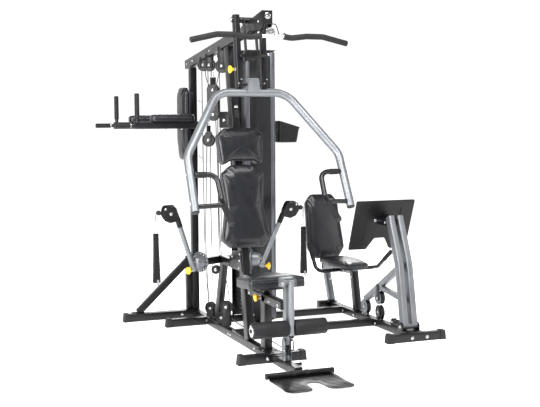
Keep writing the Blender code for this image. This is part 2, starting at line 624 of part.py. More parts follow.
def make_foot_plate():
    moving = pivot("foot_plate_hinge", PEDAL_AXIS)
    lobe = [(0.040, -2.125), (0.046, -2.290), (0.205, -2.290), (0.196, -2.170), (0.200, PEDAL_AXIS.y)]
    outline = [(-x, y) for x, y in lobe] + [(x, y) for x, y in reversed(lobe)]
    plates = sheet(soft_corners(outline, 0.045, 4), 0.005, (0, 0, 0.0095))
    axle = rod((-0.202, PEDAL_AXIS.y, PEDAL_AXIS.z), (0.202, PEDAL_AXIS.y, PEDAL_AXIS.z), 0.0180, 16)
    piece("row_foot_plate", axle, "frame_paint", moving, joined=[plates])


# ---------------------------------------------------------------- knee-raise station
def make_knee_station():
    y_near, y_far = UPRIGHT_Y - DIP_REACH, UPRIGHT_Y + DIP_REACH
    back = block((-0.0557, y_near - 0.025, DIP_Z - 0.025), (-0.0257, y_far + 0.025, DIP_Z + 0.025))
    joined = []
    for y in (y_near, y_far):
        joined.append(bar((-0.515, y, DIP_Z), (-0.040, y, DIP_Z)))
        joined.append(rod((-0.497, y, DIP_Z), (-0.497, y, 1.634), 0.0165, 14))
        joined.append(rod((-0.49, y, DIP_Z), (-0.655, y, DIP_Z), 0.0165, 14))
    piece("knee_station_frame", back, "frame_paint", joined=joined)
    corners = [(-0.105, 1.30), (-0.105, 1.655), (-0.060, 1.690), (0.060, 1.690), (0.105, 1.655),
               (0.105, 1.30), (0.075, 1.18), (0.045, 1.162), (-0.045, 1.162), (-0.075, 1.18)]
    piece("knee_station_back_pad",
          sheet(soft_corners(corners, 0.03, 2), 0.0440, (-0.0782, UPRIGHT_Y, 0), IN_YZ), "leather")
    for name, y in (("near", y_near), ("far", y_far)):
        corners = [(-0.405, y - 0.050), (-0.090, y - 0.050), (-0.090, y + 0.050), (-0.405, y + 0.050)]
        top = DIP_Z + 0.025 + GAP
        piece(f"elbow_pad_{name}", sheet(soft_corners(corners, 0.03), 0.055, (0, 0, top + 0.0275)), "leather")


# ---------------------------------------------------------------- leg press station
def make_leg_press():
    x = PRESS_X
    front = bar((x, -0.535, BEAM_TOP + 0.0065), (x, -0.470, 0.330))
    rear = bar((x, -0.085, BEAM_TOP + 0.0125), (x, 0.035, 0.300), 0.045, 0.050)
    soles = [block((x - 0.025, y - 0.030, BEAM_TOP + GAP), (x + 0.025, y + 0.030, BEAM_TOP + 0.016))
             for y in (-0.533, -0.078)]
    rail = bar((x, 0.045, 0.300), (x, -0.490, 0.345), 0.045, 0.040)
    spine = bar((x, 0.035, 0.290), (x, 0.155, 0.720), 0.045, 0.030)
    foot = block((x - 0.110, -0.095, 0.005), (x - TUBE / 2 - GAP, -0.045, 0.062))
    riser = block((x - 0.060, -0.090, BEAM_TOP + GAP), (x + 0.02, -0.050, BEAM_TOP + 0.016))
    rail_z = 0.330
    handle = rounded([(x - 0.235, -0.190, 0.520), (x - 0.235, -0.335, rail_z), (x + 0.235, -0.300, rail_z),
                      (x + 0.235, -0.400, rail_z + 0.020), (x + 0.235, -0.610, 0.485)], 0.05, 3)
    piece("leg_press_frame", front, "frame_paint",
          joined=[rear, rail, spine, pipe(handle, 0.0155, 3), *soles, riser, foot])
    lean = math.atan(0.26)
    half = [(0.095, 0.380), (0.155, 0.455), (0.141, 0.700), (0.137, 0.810), (0.090, 0.870)]
    outline = half + [(-px, pz) for px, pz in reversed(half)]
    scale = 1 / math.cos(lean)
    outline = [(px, pz * scale) for px, pz in soft_corners(outline, 0.03)]
    turn = Matrix.Rotation(-lean, 3, "X") @ IN_XZ
    thickness = 0.065
    piece("leg_press_back_pad",
          sheet(outline, thickness, (x, -0.136 + thickness / 2 * scale, 0), turn), "leather")
    corners = [(x - 0.125, -0.100), (x - 0.130, -0.300), (x - 0.085, -0.560), (x + 0.085, -0.560),
               (x + 0.130, -0.300), (x + 0.125, -0.100)]
    piece("leg_press_seat", sheet(soft_corners(corners, 0.04), 0.042, (0, 0, 0.388)), "leather")

    moving = pivot("leg_press_swing", LEG_PIVOT)
    knee, top = (-1.228, 0.480), (-1.095, 0.790)
    arms = []
    for offset in (-0.033, 0.033):
        path = rounded([(0, LEG_PIVOT.y, LEG_PIVOT.z), (0, *knee), (0, *top)], 0.30, 4)
        inner = [(place.y + 0.032, place.z) for place in path]
        outer = [(place.y - 0.032, place.z) for place in reversed(path)]
        arms.append(sheet(inner + outer, 0.036, (x + offset, 0, 0), IN_YZ))
    hub = rod((x - 0.0555, *LEG_PIVOT.yz), (x + 0.0555, *LEG_PIVOT.yz), 0.021, 16)
    stay = bar((x, -1.20, 0.470), (x, -0.675, 0.165), 0.038, 0.040)
    cross = bar((x, -0.900, 0.285), (x, -1.250, 0.245), 0.036, 0.030)
    bridge = block((x - 0.045, -1.105, 0.730), (x + 0.045, -0.9385, 0.770))
    piece("leg_press_arm", arms[0], "silver_paint", moving, joined=[arms[1], hub, stay, cross, bridge])
    tilt = math.atan(FOOT_PLATE_LEAN)
    scale = 1 / math.cos(tilt)
    notch = [(-0.090, 0.548), (-0.040, 0.628), (0.040, 0.628), (0.090, 0.548)]
    outline = notch + [(0.222, 0.548), (0.222, 0.892), (-0.222, 0.892), (-0.222, 0.548)]
    outline = [(px, pz * scale) for px, pz in outline]
    turn = Matrix.Rotation(tilt, 3, "X") @ IN_XZ
    rear = -0.9385 + FOOT_PLATE_LEAN * 0.750 + (0.007 + GAP) * scale + 0.008
    piece("leg_press_foot_plate", sheet(outline, 0.014, (x, rear, 0), turn), "black_plastic", moving)


# ---------------------------------------------------------------- bottle holder and fixed cables
def make_bottle_holder():
    left = STACK.x + 0.119
    cup = [(left + 0.030, 1.290), (left + 0.166, 1.290), (left + 0.182, 1.395), (left + 0.030, 1.440)]
    hollow_cup = [(left + 0.034, 1.294), (left + 0.162, 1.294), (left + 0.182, 1.460), (left + 0.034, 1.460)]
    y = STACK.y - 0.095
    plate = block((left + GAP, y - 0.035, 1.365), (left + 0.032, y + 0.035, 1.440))
    piece("bottle_holder", sheet(cup, 0.110, (0, y, 0), IN_XZ), "black_plastic", joined=[plate],
          cut=[sheet(hollow_cup, 0.102, (0, y, 0), IN_XZ)])


def smooth_path(points, per_span=6):
    """Points read from a smooth curve through the route's own points."""
    points = [Vector(point) for point in points]
    ends = [points[0] * 2 - points[1]] + points + [points[-1] * 2 - points[-2]]
    path = []
    for a, b, c, d in zip(ends, ends[1:], ends[2:], ends[3:]):
        for step in range(per_span):
            t = step / per_span
            path.append(0.5 * (2 * b + (c - a) * t + (2 * a - 5 * b + 4 * c - d) * t ** 2
                               + (3 * b - a - 3 * c + d) * t ** 3))
    return path + [points[-1]]


def make_cables():
    r = LAT_PULLEY_RADIUS + CABLE_RADIUS + 0.0008
    front, top = LAT_PULLEY.y, LAT_PULLEY.z
    over = [(0, front - r * math.cos(angle), top + r * math.sin(angle))
            for angle in (math.radians(degrees) for degrees in (0, 30, 60, 85))]
    upper = over + [(0, -1.40, 2.037), (0, -1.10, 2.002), (0, -0.74, 1.955), (0, -0.665, 1.915),
                    (0, -0.605, 1.86), (0, -0.600, 1.80), (0, -0.600, 1.30), (0, -0.600, 0.62)]
    piece("upper_cable", pipe(smooth_path(upper, 4), CABLE_RADIUS, 2), "cable_sleeve")
    lower = [(0.0, -1.7440, 0.122), (0, -1.66, 0.118), (0.036, -1.43, 0.100), (0.040, -1.28, 0.090),
             (0.040, -1.12, 0.088), (0.040, -0.75, 0.095), (0.058, -0.60, 0.105), (0.075, -0.53, 0.14),
             (0.082, -0.50, 0.25), (0.040, -0.46, 0.60), (0.032, -0.456, 1.20), (0.032, -0.456, 1.60)]
    piece("lower_cable", pipe(smooth_path(lower, 4), CABLE_RADIUS, 2), "cable_sleeve")


make_base()
make_tower()
make_cable_arm_carrier()
make_weight_stack()
make_back_pads()
make_press_arm()
make_lat_station()
make_cable_arms()
make_seat()
make_leg_lever()
make_foot_plate()
make_knee_station()
make_leg_press()
make_bottle_holder()
make_cables()
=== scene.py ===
"""The looks of the multi station home gym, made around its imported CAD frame.

Lengths are metres.  Shapes are made in the machine's own frame, where X = 0 is the main beam's middle plane,
Y = 0 is the rear upright's front face and Z = 0 is the floor; CENTRE is the footprint's middle in it.
"""
import json
import math

import bmesh
import bpy
from mathutils import Matrix, Vector

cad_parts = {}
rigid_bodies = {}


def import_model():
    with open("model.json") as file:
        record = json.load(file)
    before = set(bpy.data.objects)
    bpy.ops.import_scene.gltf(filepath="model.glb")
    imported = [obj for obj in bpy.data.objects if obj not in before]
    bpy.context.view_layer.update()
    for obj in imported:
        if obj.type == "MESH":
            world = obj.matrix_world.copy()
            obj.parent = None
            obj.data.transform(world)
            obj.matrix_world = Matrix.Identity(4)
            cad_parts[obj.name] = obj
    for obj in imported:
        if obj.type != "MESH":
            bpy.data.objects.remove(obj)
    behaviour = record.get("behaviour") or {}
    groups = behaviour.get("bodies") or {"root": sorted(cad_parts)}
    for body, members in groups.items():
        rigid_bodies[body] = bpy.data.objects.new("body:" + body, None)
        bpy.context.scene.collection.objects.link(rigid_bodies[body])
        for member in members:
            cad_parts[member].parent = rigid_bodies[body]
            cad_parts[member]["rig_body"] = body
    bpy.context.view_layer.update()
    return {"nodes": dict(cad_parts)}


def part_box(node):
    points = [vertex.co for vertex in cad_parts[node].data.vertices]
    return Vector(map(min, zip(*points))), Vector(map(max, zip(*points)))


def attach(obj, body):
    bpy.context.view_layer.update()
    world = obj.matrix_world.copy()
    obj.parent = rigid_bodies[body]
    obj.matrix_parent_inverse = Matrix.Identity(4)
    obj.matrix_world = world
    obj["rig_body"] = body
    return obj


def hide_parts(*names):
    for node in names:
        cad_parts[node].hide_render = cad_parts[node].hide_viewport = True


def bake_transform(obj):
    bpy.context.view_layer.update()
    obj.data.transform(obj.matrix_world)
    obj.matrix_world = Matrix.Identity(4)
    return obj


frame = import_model()

CENTRE = Vector((0.3292, -0.9465, 0))
UP = Vector((0, 0, 1))
TUBE = 0.050
CORNER = 0.0045         # outside corner radius of the square tubes
LEAN = 0.19             # the main upright leans back this much per metre of height
UPRIGHT_FRONT_Y = -1.20
UPRIGHT_DEPTH = 0.075
PRESS_X = 1.063         # leg press station's middle plane
PRESS_PIVOT = Vector((0, -1.19, 2.056))
LAT_BAR = Vector((0, -1.560, 1.930))
LAT_PULLEY = Vector((0, -1.455, 2.003))
LAT_CABLE_REACH = 0.0416   # from the lat pulley's centre to the middle of its cable
STACK = Vector((0.269, -0.493, 0))
ARM_DISC = Vector((0.186, -0.705, 0.505))
ARM_AXIS = Vector((math.sin(math.radians(60)), -math.cos(math.radians(60)), 0))
ARM_TILT = math.radians(23)
ARM_LENGTH = 0.385
LEG_PIVOT = Vector((PRESS_X, -1.30, 0.085))
LEVER_PIVOT = Vector((0, -1.8153, 0.513))
LEVER_Y = -1.852
ROLLER = Vector((0, -1.829, 0.254))
PEDAL_AXIS = Vector((0, -1.970, 0.024))
DIP_Z = 1.4165
CABLE_RADIUS = 0.0028
IN_YZ = Matrix(((0, 0, 1), (1, 0, 0), (0, 1, 0)))
IN_XZ = Matrix(((1, 0, 0), (0, 0, -1), (0, 1, 0)))
IN_XY = Matrix.Identity(3)
SIDES = (("left", -1), ("right", 1))
THIRD_OF_A_TURN = 2.094   # radians


# ---------------------------------------------------------------- camera
def make_camera():
    data = bpy.data.cameras.new("camera")
    data.lens = 66.8
    data.sensor_width = 36
    data.clip_end = 100
    camera = bpy.data.objects.new("camera", data)
    bpy.context.scene.collection.objects.link(camera)
    azimuth, pitch, roll = math.radians(21.1586), math.radians(4.46154), math.radians(-0.42726)
    facing = Vector((math.sin(azimuth) * math.cos(pitch), math.cos(azimuth) * math.cos(pitch),
                     -math.sin(pitch)))
    right = facing.cross(UP).normalized()
    axes = Matrix((right, right.cross(facing), -facing)).transposed().to_4x4()
    place = Matrix.Translation(Vector((-2.142, -7.06, 1.41)) - CENTRE)
    camera.matrix_world = place @ axes @ Matrix.Rotation(roll, 4, "Z")
    bpy.context.scene.camera = camera


make_camera()


# ---------------------------------------------------------------- materials
class Paint:
    """A node material on a Principled shader, with its textures in metres."""

    def __init__(self, name, roughness=0.5, metallic=0.0, **sockets):
        self.material = bpy.data.materials.new(name)
        self.material.use_nodes = True
        self.tree = self.material.node_tree
        self.shader = self.tree.nodes["Principled BSDF"]
        self.shader.inputs["Roughness"].default_value = roughness
        self.shader.inputs["Metallic"].default_value = metallic
        for socket, value in sockets.items():
            self.shader.inputs[socket.replace("_", " ")].default_value = value
        self.place = self.tree.nodes.new("ShaderNodeTexCoord").outputs["Object"]
        self.height = None

    def node(self, kind, **values):
        made = self.tree.nodes.new(kind)
        for name, value in values.items():
            setattr(made, name, value)
        return made

    def noise(self, scale, detail=3.0):
        made = self.node("ShaderNodeTexNoise")
        made.inputs["Scale"].default_value = scale
        made.inputs["Detail"].default_value = detail
        self.tree.links.new(self.place, made.inputs["Vector"])
        return made.outputs["Fac"]

    def cells(self, scale, feature="F1"):
        made = self.node("ShaderNodeTexVoronoi", feature=feature)
        made.inputs["Scale"].default_value = scale
        self.tree.links.new(self.place, made.inputs["Vector"])
        return made.outputs["Distance"]

    def weave(self, scale, direction):
        made = self.node("ShaderNodeTexWave", bands_direction=direction)
        made.inputs["Scale"].default_value = scale
        self.tree.links.new(self.place, made.inputs["Vector"])
        return made.outputs["Fac"]

    def spread(self, value, low, high, start=0.3, end=0.7):
        made = self.node("ShaderNodeMapRange")
        self.tree.links.new(value, made.inputs["Value"])
        for socket, number in (("From Min", start), ("From Max", end), ("To Min", low), ("To Max", high)):
            made.inputs[socket].default_value = number
        return made.outputs["Result"]

    def times(self, first, second):
        made = self.node("ShaderNodeMath", operation="MULTIPLY")
        for socket, value in zip(made.inputs, (first, second)):
            if isinstance(value, (int, float)):
                socket.default_value = value
            else:
                self.tree.links.new(value, socket)
        return made.outputs["Value"]

    def colours(self, value, first, second):
        made = self.node("ShaderNodeMix", data_type="RGBA")
        for socket, entry in ((made.inputs["Factor"], value), (made.inputs["A"], first),
                              (made.inputs["B"], second)):
            if isinstance(entry, bpy.types.NodeSocket):
                self.tree.links.new(entry, socket)
            else:
                socket.default_value = (*entry, 1)
        return made.outputs["Result"]

    def colour(self, value):
        self.tree.links.new(value, self.shader.inputs["Base Color"])

    def roughness(self, value):
        self.tree.links.new(value, self.shader.inputs["Roughness"])

    def bump(self, value, distance, strength=1.0):
        made = self.node("ShaderNodeBump")
        made.inputs["Strength"].default_value = strength
        made.inputs["Distance"].default_value = distance
        self.tree.links.new(value, made.inputs["Height"])
        if self.height is not None:
            self.tree.links.new(self.height, made.inputs["Normal"])
        self.height = made.outputs["Normal"]
        self.tree.links.new(self.height, self.shader.inputs["Normal"])


def powder_coat(name, dark, light, metallic, rough, **sockets):
    paint = Paint(name, metallic=metallic, **sockets)
    paint.colour(paint.colours(paint.spread(paint.noise(9), 0, 1), dark, light))
    paint.roughness(paint.spread(paint.noise(24), rough - 0.04, rough + 0.05))
    paint.bump(paint.noise(620, 2), 0.00020, 0.4)
    return paint.material


def make_chrome(name, tone, rough):
    paint = Paint(name, metallic=1.0)
    paint.colour(paint.colours(paint.noise(40), tuple(0.88 * c for c in tone), tone))
    paint.roughness(paint.spread(paint.noise(55, 5), rough, rough + 0.10))
    return paint.material


def make_leather():
    paint = Paint("leather_vinyl", Specular_IOR_Level=0.55)
    grain_pits_and_painted_shade = paint.spread(paint.cells(620), 0, 1, 0.0, 0.55)
    base = paint.colours(paint.spread(paint.noise(7), 0, 1), (0.0040, 0.0043, 0.0066),
                         (0.0062, 0.0066, 0.0098))
    # Painted shade: the colour goes darker in the grain's pits, the same cells that the bump dents.
    paint.colour(paint.colours(grain_pits_and_painted_shade, (0.0025, 0.0025, 0.004), base))
    paint.roughness(paint.spread(paint.noise(30), 0.29, 0.38))
    paint.bump(grain_pits_and_painted_shade, 0.00022, 0.45)
    paint.bump(paint.noise(240, 4), 0.00030, 0.30)
    return paint.material


def make_foam():
    paint = Paint("foam_rubber", Specular_IOR_Level=0.35)
    pores_and_painted_shade = paint.spread(paint.cells(1100), 0, 1, 0.05, 0.45)
    base = paint.colours(paint.spread(paint.noise(16), 0, 1), (0.0060, 0.0060, 0.0070),
                         (0.0110, 0.0110, 0.0125))
    # Painted shade: the colour goes near black in the pores, where the same mask dents the surface.
    paint.colour(paint.colours(pores_and_painted_shade, (0.002, 0.002, 0.002), base))
    paint.roughness(paint.spread(paint.noise(60), 0.55, 0.72))
    paint.bump(pores_and_painted_shade, 0.00025, 0.5)
    return paint.material


def moulded(name, dark, light, rough, grain=900, **sockets):
    paint = Paint(name, **sockets)
    paint.colour(paint.colours(paint.spread(paint.noise(20), 0, 1), dark, light))
    paint.roughness(paint.spread(paint.noise(45), rough - 0.05, rough + 0.06))
    paint.bump(paint.noise(grain, 2), 0.00012, 0.5)
    return paint.material


def make_webbing():
    paint = Paint("nylon_webbing", Specular_IOR_Level=0.3)
    cross = paint.times(paint.weave(190, "Z"), paint.weave(230, "X"))
    # Painted shade: the colour darkens between the yarns, where the weave's bump dips.
    paint.colour(paint.colours(paint.spread(cross, 0, 1, 0, 0.7), (0.003, 0.003, 0.0035),
                               (0.012, 0.012, 0.0135)))
    paint.roughness(paint.spread(paint.noise(80), 0.62, 0.80))
    paint.bump(cross, 0.0006, 0.6)
    return paint.material


def make_iron():
    paint = Paint("cast_weight_paint", Specular_IOR_Level=0.4)
    base = paint.colours(paint.spread(paint.noise(12), 0, 1), (0.008, 0.008, 0.009), (0.015, 0.015, 0.0165))
    paint.colour(base)
    paint.roughness(paint.spread(paint.noise(40), 0.42, 0.58))
    paint.bump(paint.noise(260, 6), 0.0006, 0.5)
    return paint.material


LOOKS = {
    "frame": powder_coat("frame_powder_coat", (0.0036, 0.0036, 0.0044), (0.0060, 0.0060, 0.0072), 0.0, 0.32,
                         Specular_IOR_Level=0.42),
    "silver": powder_coat("silver_powder_coat", (0.20, 0.21, 0.225), (0.235, 0.245, 0.26), 0.70, 0.42),
    "trim": powder_coat("shroud_trim_paint", (0.11, 0.115, 0.13), (0.14, 0.145, 0.16), 0.80, 0.34),
    "panel": powder_coat("shroud_panel_paint", (0.0050, 0.0050, 0.0068), (0.0080, 0.0080, 0.0102), 0.0, 0.36,
                         Specular_IOR_Level=0.42),
    "chrome": make_chrome("chrome_plate", (0.66, 0.66, 0.65), 0.07),
    "zinc": make_chrome("zinc_plate", (0.55, 0.55, 0.56), 0.22),
    "leather": make_leather(),
    "foam": make_foam(),
    "yellow": moulded("yellow_plastic_moulding", (0.80, 0.47, 0.008), (0.90, 0.56, 0.015), 0.30,
                      Coat_Weight=0.3),
    "black": moulded("black_plastic_moulding", (0.0045, 0.0045, 0.0050), (0.0080, 0.0080, 0.0085), 0.40,
                      Specular_IOR_Level=0.28),
    "grey": moulded("grey_plastic_moulding", (0.22, 0.23, 0.25), (0.28, 0.29, 0.31), 0.40),
    "rubber": moulded("rubber_feet", (0.0060, 0.0060, 0.0060), (0.0100, 0.0100, 0.0100), 0.65, 500),
    "iron": make_iron(),
    "webbing": make_webbing(),
    "cable": moulded("cable_nylon_sleeve", (0.006, 0.006, 0.0065), (0.012, 0.012, 0.013), 0.35, 1600),
}


# ---------------------------------------------------------------- shapes
def circle(radius, sides=24):
    return [(radius * math.cos(turn), radius * math.sin(turn))
            for turn in (2 * math.pi * step / sides for step in range(sides))]


def rounded_rectangle(width, height, corner=CORNER, steps=3):
    points = []
    for quarter, (across, upward) in enumerate(((1, 1), (-1, 1), (-1, -1), (1, -1))):
        for step in range(steps + 1):
            turn = math.radians(90) * (quarter + step / steps)
            points.append((across * (width / 2 - corner) + corner * math.cos(turn),
                           upward * (height / 2 - corner) + corner * math.sin(turn)))
    return points


def rounded(corners, bend, steps=8, closed=False):
    """The corners of a path, each inner one replaced by an arc of about the bend radius."""
    corners = [Vector(corner) for corner in corners]
    count = len(corners)
    path = [] if closed else [corners[0]]
    for index in range(0 if closed else 1, count if closed else count - 1):
        before, corner, after = corners[index - 1], corners[index], corners[(index + 1) % count]
        towards, away = (before - corner).normalized(), (after - corner).normalized()
        half = towards.angle(away) / 2
        if half > math.radians(88):
            path.append(corner)
            continue
        reach = min(bend / math.tan(half), 0.48 * (before - corner).length, 0.48 * (after - corner).length)
        centre = corner + (towards + away).normalized() * reach / math.cos(half)
        first, last = corner + towards * reach - centre, corner + away * reach - centre
        path += [centre + first.slerp(last, step / steps) * first.length for step in range(steps + 1)]
    return path if closed else path + [corners[-1]]


def corners(left, low, right, high):
    """The outline of an upright rectangle."""
    return [(left, low), (right, low), (right, high), (left, high)]


def flat(corners, radius, steps=4):
    """A closed 2D outline with rounded corners."""
    return [(p.x, p.y) for p in rounded([(x, y, 0) for x, y in corners], radius, steps, closed=True)]


def smooth_path(points, per_span=8):
    """Points read from a smooth curve through the given ones."""
    points = [Vector(point) for point in points]
    ends = [points[0] * 2 - points[1]] + points + [points[-1] * 2 - points[-2]]
    path = []
    for a, b, c, d in zip(ends, ends[1:], ends[2:], ends[3:]):
        for step in range(per_span):
            t = step / per_span
            path.append(0.5 * (2 * b + (c - a) * t + (2 * a - 5 * b + 4 * c - d) * t ** 2
                               + (3 * b - a - 3 * c + d) * t ** 3))
    return path + [points[-1]]


def mirrored(place, side):
    return Vector((place[0] * side, place[1], place[2]))


def axes_along(axis):
    """Matrix whose Z is the axis."""
    z = Vector(axis).normalized()
    x = z.cross(UP)
    x = Vector((1, 0, 0)) if x.length < 1e-4 else x.normalized()
    return Matrix((x, z.cross(x), z)).transposed()


class Shape:
    """A mesh in the machine frame that grows from swept, turned and flat forms."""

    def __init__(self):
        self.bm = bmesh.new()

    def skin(self, rings, loop=False, caps=True):
        """Faces between rings of points, each with the same number of points."""
        verts = [[self.bm.verts.new(point) for point in ring] for ring in rings]
        pairs = list(zip(verts, verts[1:])) + ([(verts[-1], verts[0])] if loop else [])
        count = len(verts[0])
        for first, second in pairs:
            for index in range(count):
                after = (index + 1) % count
                self.bm.faces.new((first[index], first[after], second[after], second[index]))
        if caps and not loop:
            self.bm.faces.new(reversed(verts[0]))
            self.bm.faces.new(verts[-1])
        return self

    def sweep(self, path, section, loop=False, ends=0.0015, level=None):
        """Carries a section of (across, upward) points along a path; ends is the chamfer at its two ends."""
        path = [Vector(point) for point in path]
        wide = max(abs(a) for a, _ in section)
        high = max(abs(b) for _, b in section)
        scales = [(1, 1)] * len(path)
        if not loop and ends:
            small = (1 - ends / wide, 1 - ends / high)
            first, last = (path[1] - path[0]).normalized(), (path[-1] - path[-2]).normalized()
            path = [path[0], path[0] + first * ends, *path[1:-1], path[-1] - last * ends, path[-1]]
            scales = [small, (1, 1), *scales[1:-1], (1, 1), small]
        rings, side = [], None
        for index, (point, (broad, tall)) in enumerate(zip(path, scales)):
            before = path[index - 1] if loop or index else point
            after = path[(index + 1) % len(path)] if loop or index < len(path) - 1 else point
            ahead = (after - before).normalized()
            if side is None:
                side = ahead.cross(level or UP)
                side = ahead.cross(Vector((0, 1, 0))) if side.length < 1e-3 else side
            side = (side - ahead * side.dot(ahead)).normalized()
            upward = side.cross(ahead)
            rings.append([point + side * a * broad + upward * b * tall for a, b in section])
        return self.skin(rings, loop)

    def rod(self, start, end, radius, sides=28, ends=0.0012):
        return self.sweep([start, end], circle(radius, sides), ends=ends)

    def pipe(self, path, radius, sides=24, loop=False, ends=0.0012):
        return self.sweep(path, circle(radius, sides), loop, ends)

    def bar(self, start, end, width=TUBE, height=TUBE, corner=CORNER, ends=0.001):
        return self.sweep([start, end], rounded_rectangle(width, height, corner), ends=ends)

    def turned(self, profile, at, axis, sides=32):
        """A profile of (radius, height) turned about an axis through a place."""
        turn, at = axes_along(axis), Vector(at)
        rows = []
        for radius, height in profile:
            if radius < 1e-6:
                rows.append([self.bm.verts.new(at + turn @ Vector((0, 0, height)))])
            else:
                rows.append([self.bm.verts.new(at + turn @ Vector((x, y, height))) for x, y in circle(radius,
                                                                                                      sides)])
        hollow = len(rows[0]) > 1 and len(rows[-1]) > 1
        for first, second in list(zip(rows, rows[1:])) + ([(rows[-1], rows[0])] if hollow else []):
            for index in range(sides):
                after = (index + 1) % sides
                corners = [first[index % len(first)], first[after % len(first)],
                           second[after % len(second)], second[index % len(second)]]
                self.bm.faces.new(list(dict.fromkeys(corners)))
        return self

    def plate(self, outline, thickness, at=(0, 0, 0), turn=IN_XY, edge=0.0012, segments=2):
        """A flat outline in the plate's own X and Y, centred on its plane, with eased edges."""
        at = Vector(at)
        rows = [[self.bm.verts.new(at + turn @ Vector((x, y, side * thickness / 2))) for x, y in outline]
                for side in (-1, 1)]
        faces = [self.bm.faces.new(rows[0]), self.bm.faces.new(rows[1])]
        rims = {e for face in faces for e in face.edges}
        count = len(outline)
        for index in range(count):
            after = (index + 1) % count
            self.bm.faces.new((rows[0][index], rows[0][after], rows[1][after], rows[1][index]))
        if edge:
            bmesh.ops.bevel(self.bm, geom=list(rims), offset=edge, segments=segments, profile=0.5,
                            affect="EDGES", clamp_overlap=True)
        return self

    def block(self, low, high, edge=0.0015):
        low, high = Vector(low), Vector(high)
        size, middle = high - low, (low + high) / 2
        outline = rounded_rectangle(size.x, size.y, max(edge, 0.0004), 2)
        return self.plate(outline, size.z, middle, edge=edge)

    def bolt(self, at, axis, radius=0.0075, hexagon=False):
        """A washer with a domed nut or a hexagon head on it, standing out along the axis."""
        at, axis = Vector(at), Vector(axis).normalized()
        self.turned([(0, -0.001), (radius * 1.5, -0.001), (radius * 1.5, 0.0012), (radius * 1.3, 0.0020),
                     (0, 0.0020)],
                    at, axis, 20)
        if hexagon:
            return self.sweep([at + axis * 0.001, at + axis * radius * 0.85], circle(radius * 1.05, 6),
                              ends=0.0008)
        return self.turned([(0, 0.001), (radius, 0.001), (radius, radius * 0.45),
                            (radius * 0.85, radius * 0.75), (radius * 0.5, radius * 0.95), (0, radius)], at,
                           axis, 16)

    def bolts(self, places, axis, radius=0.0075, hexagon=False):
        for place in places:
            self.bolt(place, axis, radius, hexagon)
        return self

    def from_cad(self, node, edge=0.0012, angle=32):
        """A CAD node's own solid, cleaned of its triangles, with its sharp edges eased."""
        self.bm.from_mesh(frame["nodes"][node].data)
        bmesh.ops.translate(self.bm, verts=self.bm.verts, vec=CENTRE)
        bmesh.ops.remove_doubles(self.bm, verts=self.bm.verts, dist=0.00002)
        bmesh.ops.dissolve_limit(self.bm, angle_limit=math.radians(0.6), verts=self.bm.verts,
                                 edges=self.bm.edges)
        sharp = [e for e in self.bm.edges
                 if len(e.link_faces) == 2 and e.calc_face_angle(0) > math.radians(angle)]
        if edge:
            bmesh.ops.bevel(self.bm, geom=sharp, offset=edge, segments=2, profile=0.5, affect="EDGES",
                            clamp_overlap=True)
        return self

    def made(self, name, look, body="frame", replaces=(), smooth=38):
        """The finished piece, standing on its body."""
        bmesh.ops.recalc_face_normals(self.bm, faces=self.bm.faces)
        mesh = bpy.data.meshes.new(name)
        self.bm.to_mesh(mesh)
        self.bm.free()
        mesh.shade_smooth()
        mesh.set_sharp_from_angle(angle=math.radians(smooth))
        mesh.materials.append(LOOKS[look])
        piece = bpy.data.objects.new(name, mesh)
        piece.location = -CENTRE
        bpy.context.scene.collection.objects.link(piece)
        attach(piece, body)
        if replaces:
            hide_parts(*replaces)
        return piece


def cad_box(node):
    low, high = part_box(node)
    return low + CENTRE, high + CENTRE


def square_tube(node, axis, corner=CORNER):
    """A straight tube that fills a CAD node's box."""
    low, high = cad_box(node)
    middle = (low + high) / 2
    index = "XYZ".index(axis)
    start, end = middle.copy(), middle.copy()
    start[index], end[index] = low[index], high[index]
    size = high - low
    width, height = {"X": (size.y, size.z), "Y": (size.x, size.z), "Z": (size.x, size.y)}[axis]
    return Shape().sweep([start, end], rounded_rectangle(width, height, corner), ends=0.0012)


def restyle(node, look, body="frame", edge=0.0012, name=None):
    return Shape().from_cad(node, edge).made(name or f"{node}_finish", look, body, [node])


